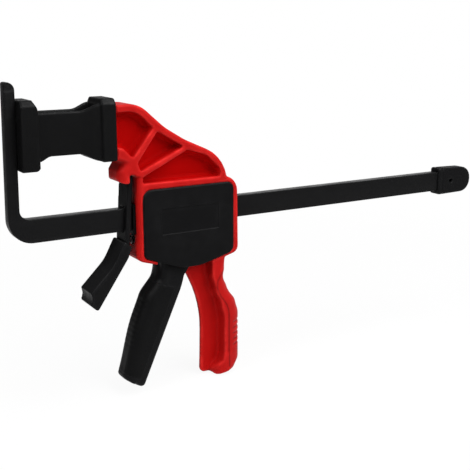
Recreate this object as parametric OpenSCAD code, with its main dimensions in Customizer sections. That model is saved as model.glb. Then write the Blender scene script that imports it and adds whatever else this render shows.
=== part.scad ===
// Guide rail clamp: a bent flat bar, a head that runs along it, a squeeze trigger and a release lever.
// Frame: X = 0 is the clamping face of the leg, Z = 0 the top of the bar, Y = 0 the middle plane.
// The head runs from the closed jaw towards +X, and the leg and the arm stand up along +Z.

/* [Bar and leg] */
// Height of the bar's section
bar_h = 12.5; // [11:0.5:14]
// Thickness of the bar
bar_t = 6; // [5:0.25:6.5]
// Travel of the head along the bar
travel_l = 160; // [80:5:300]
// Thickness of the leg where it leaves the bar
leg_root_t = 5.6; // [4.8:0.2:7]
// Thickness of the leg at its tip
leg_tip_t = 4.8; // [3:0.2:4.8]
// Height of the leg above the bar
leg_h = 68.5; // [62:0.5:90]
// Radius of the outer bend
bend_out_r = 12.5; // [6:0.5:15]
// Radius of the fillet in the throat's corner
bend_in_r = 3.5; // [1:0.5:8]

/* [End cap] */
// Length of the cap
cap_l = 29; // [26:0.5:40]
// Height of the cap
cap_h = 16.8; // [16.4:0.2:22]
// Width of the cap
cap_w = 8.6; // [8.2:0.2:12]
// Chamfer round the cap's sides
cap_chamfer = 0.9; // [0.3:0.1:1]
// Length of bar inside the cap
cap_depth = 21; // [17:0.5:22]
// Diameter of the cross pin
cap_pin_d = 2.6; // [2:0.1:4]
// Depth of the groove behind the cap's collar
cap_groove_d = 0.4; // [0.2:0.1:0.6]
// Distance of the cross pin from the cap's mouth
cap_pin_in = 11.5; // [6:0.5:14]

/* [Jaw pad] */
// Length of the pad from its face to the arm
pad_l = 50.7; // [46:0.1:60]
// How far the flanges stand out past the arm on each side
pad_proud = 1; // [0:0.1:3]
// Lowest level of the flanges above the bar
pad_z0 = 25.1; // [24:0.1:28]
// Top level of the flanges above the bar
pad_z1 = 60.3; // [58.6:0.1:62]
// Thickness of the front flange
pad_front_t = 9.6; // [5:0.2:10]
// Thickness of the rear flange
pad_rear_t = 8; // [7.4:0.2:9]
// Width of the waist between the flanges
waist_w = 15; // [13:0.2:16.4]
// Wall of the hollow waist
waist_wall = 2.3; // [1.6:0.1:2.6]
// Gap between leg and pad in the closed jaw
jaw_gap = 0.5; // [0.3:0.1:2]

/* [Arm] */
// Width of arm and housing
body_w = 19; // [18:0.2:22]
// Top level of the arm above the bar
arm_top = 56.6; // [56:0.2:58]
// Length of the chin below the pad, in front of the notch
chin_l = 7; // [6:0.2:9]
// Level of the chin's underside
chin_z = 15.5; // [14.8:0.1:16]
// Radius of the chin's nose, seen from above
chin_nose_r = 7.5; // [3:0.5:8.5]
// Width of the notch that holds the brake plate
notch_w = 3; // [2.9:0.05:3.4]
// Depth of the notch above the chin's underside
notch_d = 3.4; // [3:0.1:4]
// Thickness of the web between the arm's pockets
arm_web = 4.6; // [3:0.2:7]
// Thickness of the arm's ribs and rim
rib_t = 2.8; // [2:0.1:3.2]

/* [Housing] */
// Length of the housing along the bar
house_l = 62.8; // [61:0.2:70]
// Level of the housing's top above the bar
house_top = 13.5; // [13.1:0.1:13.9]
// Front and rear wall
house_wall = 3.2; // [2.6:0.1:3.6]
// Side wall behind each cover
side_wall = 1.7; // [1.2:0.1:1.9]
// Red rim round the covers
cover_rim = 3.7; // [3.3:0.1:3.9]
// Depth of the covers' seat in the housing
cover_seat = 1; // [0.6:0.1:1.2]
// How far the covers stand proud of the housing
cover_proud = 1; // [0.4:0.1:1.6]
// Chamfer round each cover
cover_chamfer = 0.7; // [0.3:0.1:0.9]
// Length of the shallow bare field on each cover
field_l = 36; // [20:1:40]
// Height of the shallow bare field on each cover
field_h = 14.6; // [8:0.2:20]
// Depth of the shallow bare field on each cover
field_d = 0.3; // [0.1:0.1:0.5]

/* [Rear grip] */
// Thickness of the grip's web
grip_web = 6; // [4:0.2:6.4]
// Depth of the rounded back at the palm
palm_depth = 10; // [7:0.2:11]
// Depth of the rounded back at the neck
neck_depth = 5; // [4:0.2:6]
// Thickness of the side lips in front of the rounded back
lip_t = 2.5; // [1.8:0.1:3]
// Length of the grip below the bar
grip_l = 92; // [88:1:110]
// Number of grooves across the palm
palm_ribs = 5; // [0:1:7]
// Spacing of the palm grooves
palm_pitch = 3.2; // [2.4:0.2:4]
// Depth of the palm grooves
palm_groove_d = 0.5; // [0.2:0.1:0.8]
// Level of the first palm groove below the bar
palm_drop = 64; // [60:1:68]

/* [Trigger] */
// Distance of the pivot behind the housing's front
pivot_in = 22.8; // [21.8:0.2:23.6]
// Level of the pivot above the bar
pivot_z = 4.6; // [4.4:0.1:4.8]
// Diameter of the pivot pin
pivot_d = 5; // [3:0.2:5.4]
// Radius of the eyes round the pivot pin
eye_r = 4.3; // [3.8:0.1:4.4]
// Width of the trigger's handle
trigger_w = 17.5; // [16:0.25:19]
// Length of the trigger's handle
trigger_l = 67; // [62:1:72]
// Forward slope of the trigger's handle from upright
trigger_slope = 20.7; // [19:0.1:22]
// Swing of the trigger from rest to fully squeezed
trigger_swing = 18; // [12:1:18]
// Thickness of the trigger's front wall
trigger_wall = 3; // [2.4:0.1:3.6]
// Thickness of the soft skin
skin_t = 1; // [0.6:0.1:1.4]
// Border of hard plastic left round the skin
skin_border = 4; // [2.5:0.5:5]

/* [Jam plates] */
// Thickness of one drive plate
drive_t = 2.4; // [1.8:0.1:2.8]
// Thickness of the brake plate
brake_t = 2.6; // [2:0.1:2.6]
// Width of the brake plate
brake_w = 12.8; // [12:0.2:15]
// Tilt of the brake plate when it grips
brake_tilt = 4.5; // [3:0.5:6]
// Length of the brake plate below the bar
brake_tail = 11.5; // [10.5:0.1:12]

/* [Release lever] */
// Width of the lever
lever_w = 16; // [15.4:0.2:18]
// Length of the lever below the brake plate
lever_l = 33.8; // [28:0.2:40]
// Forward slope of the lever from upright
lever_slope = 33.5; // [28:0.5:36]

/* [Springs] */
// Wire of the drive spring
drive_wire = 1.1; // [0.8:0.1:1.3]
// Outer diameter of the drive spring
drive_spring_d = 8.4; // [7.6:0.2:8.6]
// Turns of the drive spring
drive_turns = 7; // [4:1:9]
// Wire of the brake spring
brake_wire = 0.8; // [0.6:0.1:0.9]
// Outer diameter of the brake spring
brake_spring_d = 5.2; // [4.6:0.2:5.4]
// Turns of the brake spring
brake_turns = 4; // [2:1:4]

/* [Clearances] */
// Running gap between the bar and what slides on it
bar_gap = 0.15; // [0.1:0.05:0.25]
// Gap between fixed pieces that fit into each other
fit_gap = 0.1; // [0.05:0.05:0.15]
// Radial gap of the pivot pin in the trigger
pin_gap = 0.06; // [0.02:0.01:0.1]
// Side gap of moving pieces inside the housing
side_gap = 0.4; // [0.3:0.05:0.5]

/* [Hidden] */

red = [0.72, 0.07, 0.08];
black = [0.10, 0.10, 0.11];
steel = [0.35, 0.36, 0.38];
spring_steel = [0.55, 0.56, 0.58];

// Chords in each rounded corner of an outline
arc_steps = 6;
// Segments of a round hole or pin
round_fn = 48;
// Overlap of pieces that are joined, and reach of cuts past a face
over = 0.5;
// A length past every side of the object
far = 60;

// Levels and stations that several pieces share
bar_z = -bar_h;
bar_mid = -bar_h / 2;
arm_x = jaw_gap + pad_l;
chin_x = arm_x + chin_l;
house_x = chin_x + notch_w;
rear_x = house_x + house_l;
notch_z = chin_z + notch_d;
half_w = body_w / 2;
pad_w = body_w + 2 * pad_proud;
seat_y = half_w - cover_seat;
cavity_y = seat_y - side_wall;
cover_y = half_w + cover_proud;
cavity_x0 = house_x + house_wall;
cavity_x1 = rear_x - house_wall;
cavity_top = house_top - cover_rim - 0.5;

// The belly: the housing's underside, front and rear of the trigger's opening
belly_front = 15.8;
belly_low = 21.8;
belly_rear = 16.2;
mouth_x0 = house_x + 12.4;
mouth_x1 = house_x + 46.6;
grip_x = house_x + 43.3;

// Liners of the bar's way through the housing
guide_t = 1.7;
guide_lip = 1;
guide_rim = 0.6;
cap_x = rear_x + guide_lip + travel_l + 0.4;
cap_pin_x = cap_x + cap_pin_in;

// The trigger's pivot, and the place where its nose pushes the drive plates
pivot_x = house_x + pivot_in;
fork_y0 = bar_t / 2 + side_gap;
fork_y1 = cavity_y - side_gap;
nose_z = bar_z - 5;
nose_x = pivot_x + eye_r;
drive_x = nose_x + 0.2;
drive_foot = bar_z - 6.6;
drive_spring_x0 = drive_x + 2 * drive_t + 0.2;
drive_spring_x1 = cavity_x1 - 0.2;
drive_spring_z = bar_z - 4.6;

// The handle's own axis: s runs down it from its shoulder, n runs across it to the rear
shoulder_x = pivot_x - 1.5;
shoulder_z = bar_z - 25.5;

// The brake plate swings about the middle of the notch
brake_x = chin_x + notch_w / 2;
brake_z = chin_z + notch_d / 2;
brake_len = brake_z + bar_h + brake_tail;
brake_hole = brake_t / 2 * sin(brake_tilt) + (brake_z + bar_h) * (1 - cos(brake_tilt)) + 0.08;
tail_x = brake_x - brake_len * sin(brake_tilt);
tail_z = brake_z - brake_len * cos(brake_tilt);
brake_spring_z = bar_z - bar_gap - guide_t - guide_rim - 0.3 - brake_spring_d / 2;
brake_pocket = 5;
brake_spring_x1 = cavity_x0 + brake_pocket - 0.2;
brake_spring_x0 = brake_x - (brake_z - brake_spring_z - brake_spring_d / 2) * tan(brake_tilt)
    + brake_t / 2 / cos(brake_tilt) + 0.3;

// Outline helpers. A corner is [x, z, radius], and outlines run anticlockwise.

function unit(v) = v / norm(v);
function flat(p) = [p[0], p[1]];

// The arc that rounds corner p between its neighbours a and b
function corner(a, p, b) =
    let (u = unit(flat(a) - flat(p)), v = unit(flat(b) - flat(p)), half = acos(u * v) / 2)
    p[2] <= 0 ? [flat(p)] :
    let (mid = flat(p) + unit(u + v) * p[2] / sin(half))
    let (start = flat(p) + u * p[2] / tan(half) - mid, stop = flat(p) + v * p[2] / tan(half) - mid)
    let (first = atan2(start[1], start[0]), turn = atan2(stop[1], stop[0]) - first)
    let (sweep = turn > 180 ? turn - 360 : turn < -180 ? turn + 360 : turn)
    [for (k = [0 : arc_steps]) let (t = first + sweep * k / arc_steps) mid + p[2] * [cos(t), sin(t)]];

// The points of an outline with its corners rounded
function rounded(pts) = let (n = len(pts))
    [for (i = [0 : n - 1]) each corner(pts[(i + n - 1) % n], pts[i], pts[(i + 1) % n])];

// The same outline moved inwards by d, with radii to match
function inset(pts, d) = let (n = len(pts))
    [for (i = [0 : n - 1])
        let (p = flat(pts[i]), a = unit(p - flat(pts[(i + n - 1) % n])))
        let (b = unit(flat(pts[(i + 1) % n]) - p), na = [-a[1], a[0]], nb = [-b[1], b[0]])
        let (q = p + (na + nb) * d / (1 + na * nb), convex = a[0] * b[1] - a[1] * b[0] > 0)
        let (r = pts[i][2])
        [q[0], q[1], r <= 0 ? 0 : convex ? max(r - d, 0.05) : r + d]];

// A list read as a smooth curve: knots are [at, value], eased from one to the next
function eased(knots, at) =
    at <= knots[0][0] ? knots[0][1] :
    let (above = [for (i = [1 : len(knots) - 1]) if (at <= knots[i][0]) i])
    len(above) == 0 ? knots[len(knots) - 1][1] :
    let (i = above[0], lo = knots[i - 1], hi = knots[i], t = (at - lo[0]) / (hi[0] - lo[0]))
    lo[1] + (hi[1] - lo[1]) * (1 - cos(180 * t)) / 2;

// A plate whose outline lies in XZ, from y0 to y1
module plate(pts, y0, y1) {
    translate([0, y1, 0]) rotate([90, 0, 0]) linear_extrude(y1 - y0) polygon(rounded(pts));
}

// A bar whose outline lies in YZ, from x0 to x1
module beam(pts, x0, x1) {
    translate([x0, 0, 0]) rotate([90, 0, 90]) linear_extrude(x1 - x0) polygon(rounded(pts));
}

// A box between two corners
module block(low, high) {
    translate(low) cube(high - low);
}

// A cylinder along Y or along X
module pin_y(x, z, r, y0, y1) {
    translate([x, y1, z]) rotate([90, 0, 0]) cylinder(r = r, h = y1 - y0, $fn = round_fn);
}
module pin_x(x0, x1, y, z, r) {
    translate([x0, y, z]) rotate([0, 90, 0]) cylinder(r = r, h = x1 - x0, $fn = round_fn);
}

// A closed skin over rings of equal length, closed by a flat face at each end
module skin(rings) {
    n = len(rings[0]);
    m = len(rings);
    sides = [for (i = [0 : m - 2], j = [0 : n - 1]) let (k = (j + 1) % n)
        each [[i * n + j, (i + 1) * n + k, i * n + k], [i * n + j, (i + 1) * n + j, (i + 1) * n + k]]];
    first = [for (j = [0 : n - 1]) j];
    last = [for (j = [n - 1 : -1 : 0]) (m - 1) * n + j];
    polyhedron([for (r = rings) each r], concat([first], sides, [last]));
}

// A plate from y0 to y1 whose edges are chamfered by c0 at y0 and by c1 at y1
module chamfered_plate(pts, y0, y1, c0, c1) {
    steps = [[c0, y0], [0, y0 + c0], [0, y1 - c1], [c1, y1]];
    rings = [for (t = steps) [for (p = rounded(inset(pts, t[0]))) [p[0], t[1], p[1]]]];
    skin(c0 > 0 ? (c1 > 0 ? rings : [for (i = [0 : 2]) rings[i]]) : [for (i = [1 : 3]) rings[i]]);
}

// A coil spring along X from x0 to x1, its wire ending square to what it presses on.
// The path is worked out unrolled: a is the way round, x the way along.
function coil_path(x0, x1, r, wire, turns) =
    let (bend = 1.2 * wire, rise = (x1 - x0) - 2 * (wire + bend), round = turns * 360)
    let (deg = 180 / PI / r, a0 = bend * deg, a1 = a0 + round)
    concat([[0, x0], [0, x0 + wire]],
        [for (k = [1 : 3]) [bend * (1 - cos(30 * k)) * deg, x0 + wire + bend * sin(30 * k)]],
        [for (k = [1 : turns * 8 - 1]) let (t = k / (turns * 8))
            [a0 + t * round, x0 + wire + bend + t * rise]],
        [for (k = [3 : -1 : 1]) [a1 + bend * cos(30 * k) * deg, x1 - wire - bend * sin(30 * k)]],
        [[a1 + bend * deg, x1 - wire], [a1 + bend * deg, x1]]);
function coil_point(p, r) = [p[1], r * cos(p[0]), r * sin(p[0])];
function coil_gap(path, r, wire) =
    min([for (i = [0 : len(path) - 1], j = [0 : len(path) - 1])
        if (j - i > 5) norm(coil_point(path[i], r) - coil_point(path[j], r))]) - wire;
module coil(x0, x1, z, outer_d, wire, turns) {
    r = (outer_d - wire) / 2;
    path = coil_path(x0, x1, r, wire, turns);
    n = len(path);
    echo(coil_self_gap = coil_gap(path, r, wire));
    rings = [for (i = [0 : n - 1])
        let (here = coil_point(path[i], r), out = [0, cos(path[i][0]), sin(path[i][0])])
        let (way = unit(coil_point(path[min(i + 1, n - 1)], r) - coil_point(path[max(i - 1, 0)], r)))
        let (along = i == 0 || i == n - 1 ? [1, 0, 0] : way)
        let (e1 = unit(out - (out * along) * along), e2 = cross(along, e1))
        [for (k = [0 : 5]) here + wire / 2 * (cos(60 * k) * e1 + sin(60 * k) * e2)]];
    translate([0, 0, z]) skin([for (r = rings) [for (k = [5 : -1 : 0]) r[k]]]);
}

// Bar

module clamp_bar() {
    tip_r = leg_tip_t / 2 - 0.1;
    outline = [[0, 0, bend_in_r], [0, leg_h, tip_r], [-leg_tip_t, leg_h, tip_r],
        [-leg_root_t, bar_z, bend_out_r], [cap_x + cap_depth, bar_z, 0], [cap_x + cap_depth, 0, 0]];
    color(black) difference() {
        plate([for (i = [5 : -1 : 0]) outline[(i + 1) % 6]], -bar_t / 2, bar_t / 2);
        pin_y(cap_pin_x, bar_mid, cap_pin_d / 2 + fit_gap / 2, -far, far);
    }
}

cap_outline = [[cap_x, bar_mid - cap_h / 2, 2], [cap_x + cap_l, bar_mid - cap_h / 2, cap_h / 2 - 0.3],
    [cap_x + cap_l, bar_mid + cap_h / 2, cap_h / 2 - 0.3], [cap_x, bar_mid + cap_h / 2, 2]];

module end_cap() {
    color(black) difference() {
        chamfered_plate(cap_outline, -cap_w / 2, cap_w / 2, cap_chamfer, cap_chamfer);
        block([cap_x - over, -bar_t / 2 - fit_gap, bar_z - fit_gap],
            [cap_x + cap_depth + fit_gap, bar_t / 2 + fit_gap, fit_gap]);
        pin_y(cap_pin_x, bar_mid, cap_pin_d / 2 + fit_gap / 2, -far, far);
        cap_groove();
    }
}

// The groove that parts the cap's collar from its grip
module cap_groove() {
    y = cap_w / 2 - cap_groove_d;
    z = cap_h / 2 - cap_groove_d;
    x = cap_x + 3.2;
    difference() {
        block([x, -cap_w, bar_mid - cap_h], [x + 0.9, cap_w, bar_mid + cap_h]);
        block([x - over, -y, bar_mid - z], [x + 0.9 + over, y, bar_mid + z]);
    }
}

module end_cap_pin() {
    color(steel) pin_y(cap_pin_x, bar_mid, cap_pin_d / 2, -cap_w / 2 + 0.6, cap_w / 2 - 0.6);
}

// Head

// The arm, from its front face over the sloping back to the housing
arm_outline = [[arm_x + 0.6, chin_z, 5.5], [chin_x, chin_z, 0.8], [chin_x, notch_z, 0.6],
    [house_x, notch_z, 0.6], [house_x, house_top - 6, 0], [rear_x - 7.5, house_top - 6, 0],
    [rear_x - 7.5, arm_top - 32.5, 18],
    [house_x + 32.3, arm_top - 23.8, 20], [house_x + 13.8, arm_top - 11.8, 20],
    [house_x + 2.4, arm_top - 0.4, 14], [arm_x, arm_top, 1.2]];

// The housing's box, its underside lifted across the trigger's mouth
house_outline = [[house_x, bar_z - belly_front, 5], [mouth_x0, bar_z - belly_front - 3.2, 0.6],
    [mouth_x0, bar_z - belly_front - 0.6, 0], [house_x + 26, bar_z - belly_low + 1.2, 20],
    [mouth_x1, bar_z - belly_low + 2.6, 0], [mouth_x1, bar_z - belly_low - 0.6, 0],
    [rear_x, bar_z - belly_rear, 6], [rear_x, house_top, 7], [house_x, house_top, 0]];

// One cover, inside the red rim and down over the trigger's mouth
cover_outline = [[house_x + cover_rim, bar_z - belly_front + 2.2, 3], [house_x + 26.8, bar_z - belly_low, 22],
    [house_x + 38.8, bar_z - belly_low + 0.1, 22], [rear_x - cover_rim, bar_z - belly_rear, 5],
    [rear_x - cover_rim, house_top - cover_rim, 4], [house_x + cover_rim, house_top - cover_rim, 5]];

// The three pockets on each side of the arm, parted by ribs that fan out from the chin
pocket_1 = [[arm_x + 1.1, arm_top - 22.6, 1], [house_x - 3.6, arm_top - 25.6, 4],
    [house_x - 0.2, arm_top - 27.4, 1.4], [house_x + 13.5 - rib_t / 1.2, arm_top - 15.6 + rib_t * 0.8, 1],
    [house_x + 1.8, arm_top - 1.4 - rib_t, 10], [arm_x + 1.1, arm_top - 1.5 - rib_t, 1]];
pocket_2 = [[house_x + 3.2, arm_top - 36.4, 1.2], [house_x + 29.4, arm_top - 21.8 - rib_t, 1],
    [house_x + 13.5, arm_top - 12.4 - rib_t, 1.2], [house_x + 1.6, arm_top - 31.4, 1]];
pocket_3 = [[house_x + 4.4, house_top, 1], [house_x + 51.6, house_top, 1.4],
    [house_x + 52.2, arm_top - 38.5, 4], [house_x + 43.2, arm_top - 30, 7],
    [house_x + 31.3, arm_top - 26.4, 1.5], [house_x + 4.4, arm_top - 36.6 - rib_t, 1]];

// The corner that is taken off the chin, seen from above, to round its nose
chin_corner = concat([[arm_x - over, half_w + over], [arm_x - over, half_w - chin_nose_r]],
    [for (t = [0 : 7.5 : 90]) [arm_x + chin_nose_r * (1 - cos(t)), half_w - chin_nose_r * (1 - sin(t))]],
    [[arm_x + chin_nose_r, half_w + over]]);

// The tenon that carries the jaw pad
tenon_x = arm_x - 5.6;
tenon_y = 5.2;
tenon_z0 = pad_z0 + 10;
tenon_z1 = pad_z1 - 9;

// The grip's web, and the lip round its foot
foot_z = bar_z - grip_l;
web_outline = [[grip_x - 3.1, foot_z - 0.7, 3.5], [grip_x + 14, foot_z - 0.7, 0],
    [grip_x + 14, bar_z - belly_low + 6, 0], [grip_x, bar_z - belly_low + 6, 0],
    [grip_x - 8.4, bar_z - belly_low + 1.2, 2], [grip_x - 11.6, bar_z - belly_low - 5.3, 2],
    [grip_x - 1.1, bar_z - belly_low - 28, 45]];
foot_outline = [[grip_x + 1.4, foot_z + 3.2, 1], [grip_x + 4.8, foot_z - 0.7, 1.4],
    [grip_x + 15, foot_z + 1.5, 3], [grip_x + 15, foot_z + 12, 0], [grip_x + 11.4, foot_z + 10, 3],
    [grip_x + 9, foot_z + 5.6, 5], [grip_x + 2.5, foot_z + 5.2, 1]];

// The rounded back of the grip: level below the bar, front of its side lips, depth of its back
back_stations = [18, 23, 28, 33, 38, 44, 50, 56, 63, grip_l - 14, grip_l - 7, grip_l - 2.6, grip_l];
back_lip = [[18, 3.2], [30, 3.2], [40, 5.6], [50, 9.4], [58, 11.2], [grip_l, 11.2]];
back_crown = [[18, neck_depth - 0.6], [30, neck_depth], [44, palm_depth * 0.84], [56, palm_depth],
    [grip_l - 8, palm_depth], [grip_l, palm_depth * 0.55]];
back_side = [[18, lip_t + 4], [28, lip_t + 3], [38, lip_t], [grip_l, lip_t]];
back_half = [[18, half_w], [grip_l - 3, half_w], [grip_l, half_w - 1.6]];
function back_ring(drop) =
    let (x0 = grip_x + eased(back_lip, drop), x1 = x0 + eased(back_side, drop), z = bar_z - drop)
    let (y = eased(back_half, drop), crown = eased(back_crown, drop))
    concat([[x0, -y, z]], [for (t = [-90 : 15 : 90]) [x1 + crown * cos(t), y * sin(t), z]], [[x0, y, z]]);

// A groove between two palm ribs, cut along the rounded back
palm_x = grip_x + eased(back_lip, palm_drop) + eased(back_side, palm_drop);
palm_sweep = 60;
palm_step = 12;
palm_groove = concat(
    [for (t = [-palm_sweep : palm_step : palm_sweep])
        [palm_x + (palm_depth + over) * cos(t), (half_w + over) * sin(t)]],
    [for (t = [palm_sweep : -palm_step : -palm_sweep])
        [palm_x + (palm_depth - palm_groove_d) * cos(t), (half_w - palm_groove_d) * sin(t)]]);

// The boss that backs the brake spring
module brake_boss() {
    r = brake_spring_d / 2 + 1.6;
    pin_x(cavity_x0 - over, cavity_x0 + brake_pocket + 1.4, 0, brake_spring_z, r);
}

module body_frame() {
    color(red) difference() {
        union() {
            plate(arm_outline, -half_w, half_w);
            plate(house_outline, -half_w, half_w);
            block([tenon_x, -tenon_y, tenon_z0], [arm_x + over, tenon_y, tenon_z1]);
            plate(web_outline, -grip_web / 2, grip_web / 2);
            plate(foot_outline, -half_w, half_w);
            skin([for (i = [len(back_stations) - 1 : -1 : 0]) back_ring(back_stations[i])]);
            brake_boss();
        }
        for (side = [-1, 1]) {
            for (p = [pocket_1, pocket_2, pocket_3]) {
                plate(p, side > 0 ? arm_web / 2 : -far, side > 0 ? far : -arm_web / 2);
            }
            plate(inset(cover_outline, -fit_gap), side > 0 ? seat_y : -far, side > 0 ? far : -seat_y);
            translate([0, 0, chin_z - over]) linear_extrude(pad_z0 + 1.6 - chin_z + over)
                polygon([for (p = chin_corner) [p[0], side * p[1]]]);
        }
        for (k = [0 : palm_ribs - 1]) {
            translate([0, 0, bar_z - palm_drop - k * palm_pitch]) linear_extrude(palm_pitch / 3)
                polygon(palm_groove);
        }
        difference() {
            block([cavity_x0, -cavity_y, bar_z - belly_low - 3], [cavity_x1, cavity_y, cavity_top]);
            block([cavity_x0 - over, -far, -far], [mouth_x0, far, bar_z - belly_front + 2]);
            block([mouth_x1, -far, -far], [cavity_x1 + over, far, bar_z - belly_rear + 1.5]);
            brake_boss();
            pin_x(cavity_x1 - 6, cavity_x1 + over, 0, drive_spring_z, drive_spring_d / 2 - drive_wire - 0.4);
            plate(web_outline, -grip_web / 2, grip_web / 2);
        }
        pin_x(house_x - over, cavity_x0 + brake_pocket, 0, brake_spring_z, brake_spring_d / 2 + 0.4);
        guide_window(house_x - over, cavity_x0 + brake_pocket, 0);
        guide_window(cavity_x0, cavity_x0 + brake_pocket, guide_rim);
        guide_window(cavity_x1 - over, rear_x + over, 0);
        pin_y(pivot_x, pivot_z, pivot_d / 2, -far, far);
    }
}

// A box round the bar, as large as a bar guide and grown by d
module guide_window(x0, x1, d) {
    grow = bar_gap + guide_t + d;
    block([x0, -bar_t / 2 - grow, bar_z - grow], [x1, bar_t / 2 + grow, grow]);
}

// A bar guide: a sleeve in its window, with a lip against one side of the wall
module bar_guide(x0, x1, lip_x0) {
    color(black) difference() {
        union() {
            guide_window(x0, x1, 0);
            guide_window(lip_x0, lip_x0 + guide_lip, guide_rim);
        }
        block([x0 - far, -bar_t / 2 - bar_gap, bar_z - bar_gap], [x1 + far, bar_t / 2 + bar_gap, bar_gap]);
    }
}

module front_bar_guide() {
    bar_guide(house_x, cavity_x0 + guide_lip / 2, cavity_x0);
}

module rear_bar_guide() {
    bar_guide(cavity_x1, rear_x + guide_lip / 2, rear_x);
}

// The shallow field in a cover's face, on the near or the far side
module cover_field(side) {
    x0 = house_x + 12.8;
    z1 = -0.9;
    y0 = cover_y - field_d;
    block([x0, side > 0 ? y0 : -far, z1 - field_h], [x0 + field_l, side > 0 ? far : -y0, z1]);
}

module near_cover() {
    color(black) difference() {
        chamfered_plate(cover_outline, -cover_y, -seat_y, cover_chamfer, 0);
        cover_field(-1);
    }
}

module far_cover() {
    color(black) difference() {
        chamfered_plate(cover_outline, seat_y, cover_y, 0, cover_chamfer);
        cover_field(1);
    }
}

// A flange of the pad, with its upper edges bevelled
function flange(z0, z1) = [[-pad_w / 2, z0, 1.6], [pad_w / 2, z0, 1.6], [pad_w / 2, z1 - 2.8, 0.8],
    [pad_w / 2 - 2.6, z1, 0.8], [-pad_w / 2 + 2.6, z1, 0.8], [-pad_w / 2, z1 - 2.8, 0.8]];

// The waist: its half width, underside and upper edge along the pad
waist_x0 = jaw_gap + pad_front_t;
waist_x1 = arm_x - pad_rear_t;
waist_y = [[waist_x0, waist_w / 2], [waist_x1 - 12, waist_w / 2], [waist_x1, pad_w / 2 - 1.5]];
waist_low = [[waist_x0, pad_z0 + 4.2], [waist_x0 + 7, pad_z0 + 6.8], [waist_x1 - 12, pad_z0 + 6.8],
    [waist_x1, pad_z0 + 2.6]];
waist_high = [[waist_x0, pad_z1 - 6.4], [waist_x1 - 11, pad_z1 - 6.4], [waist_x1, pad_z1 - 3.2]];
function waist_ring(x, wall) =
    let (y = eased(waist_y, x) - wall, z0 = eased(waist_low, x) + (wall > 0 ? wall + 1 : 0))
    let (z1 = wall > 0 ? pad_z1 + 2 : eased(waist_high, x))
    [for (p = rounded([[-y, z0, 1.2], [y, z0, 1.2], [y, z1, 0.6], [-y, z1, 0.6]])) [x, p[0], p[1]]];

module jaw_pad() {
    stations = [for (k = [0 : 12]) waist_x0 - 0.4 + (waist_x1 - waist_x0 + 0.8) * k / 12];
    hollow = [for (k = [0 : 12]) waist_x0 + 1.5 + (waist_x1 - waist_x0 - 2.2) * k / 12];
    color(black) difference() {
        union() {
            beam(flange(pad_z0, pad_z1), jaw_gap, waist_x0);
            beam(flange(pad_z0 + 2, pad_z1 - 0.6), waist_x1, arm_x);
            skin([for (x = stations) waist_ring(x, 0)]);
        }
        skin([for (x = hollow) waist_ring(x, waist_wall)]);
        block([tenon_x - fit_gap, -tenon_y - fit_gap, tenon_z0 - fit_gap],
            [arm_x + over, tenon_y + fit_gap, tenon_z1 + fit_gap]);
    }
}

module trigger_pivot_pin() {
    color(steel) pin_y(pivot_x, pivot_z, pivot_d / 2 - 0.02, -seat_y, seat_y);
}

module drive_spring() {
    color(spring_steel)
        coil(drive_spring_x0, drive_spring_x1, drive_spring_z, drive_spring_d, drive_wire, drive_turns);
}

module brake_spring() {
    color(spring_steel)
        coil(brake_spring_x0, brake_spring_x1, brake_spring_z, brake_spring_d, brake_wire, brake_turns);
}

// Trigger

// The handle's front, rear and half width, by the way s down from its shoulder
handle_front = [[-4, -5.4], [0, -6.9], [5, -6.8], [19, -10.4], [32, -10.8], [trigger_l, -7.2]];
handle_rear = [[0, 8.6], [trigger_l, 4.6]];
handle_half = [[-4, fork_y1 - 1.3], [4, trigger_w / 2]];
handle_stations = [-4, -2.2, -0.3, 1.8, 4, 7, 10, 14, 18, 23, 30, 40, 50,
    trigger_l - 5, trigger_l - 1.6, trigger_l];
function straight(knots, at) = knots[0][1] + (knots[1][1] - knots[0][1]) * at / knots[1][0];
function on_handle(s, n) = [shoulder_x - s * sin(trigger_slope) + n * cos(trigger_slope),
    shoulder_z - s * cos(trigger_slope) - n * sin(trigger_slope)];
front_r = 6.5;
// How far the handle's end leans down to its rear, for each millimetre across it
foot_lean = 0.2;
function handle_ring(s) =
    let (y = eased(handle_half, s), tuck = s > trigger_l - 1 ? 1.4 : 0)
    let (lean = s > trigger_l - 2 ? foot_lean : 0)
    let (front = eased(handle_front, s), rear = straight(handle_rear, s), r = min(front_r, y - 0.6))
    let (around = [[front, -y, r], [rear, -y, 1.4], [rear, y, 1.4], [front, y, r]])
    [for (p = rounded(inset(around, tuck))) let (q = on_handle(s + lean * p[0], p[0])) [q[0], p[1], q[1]]];

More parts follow.
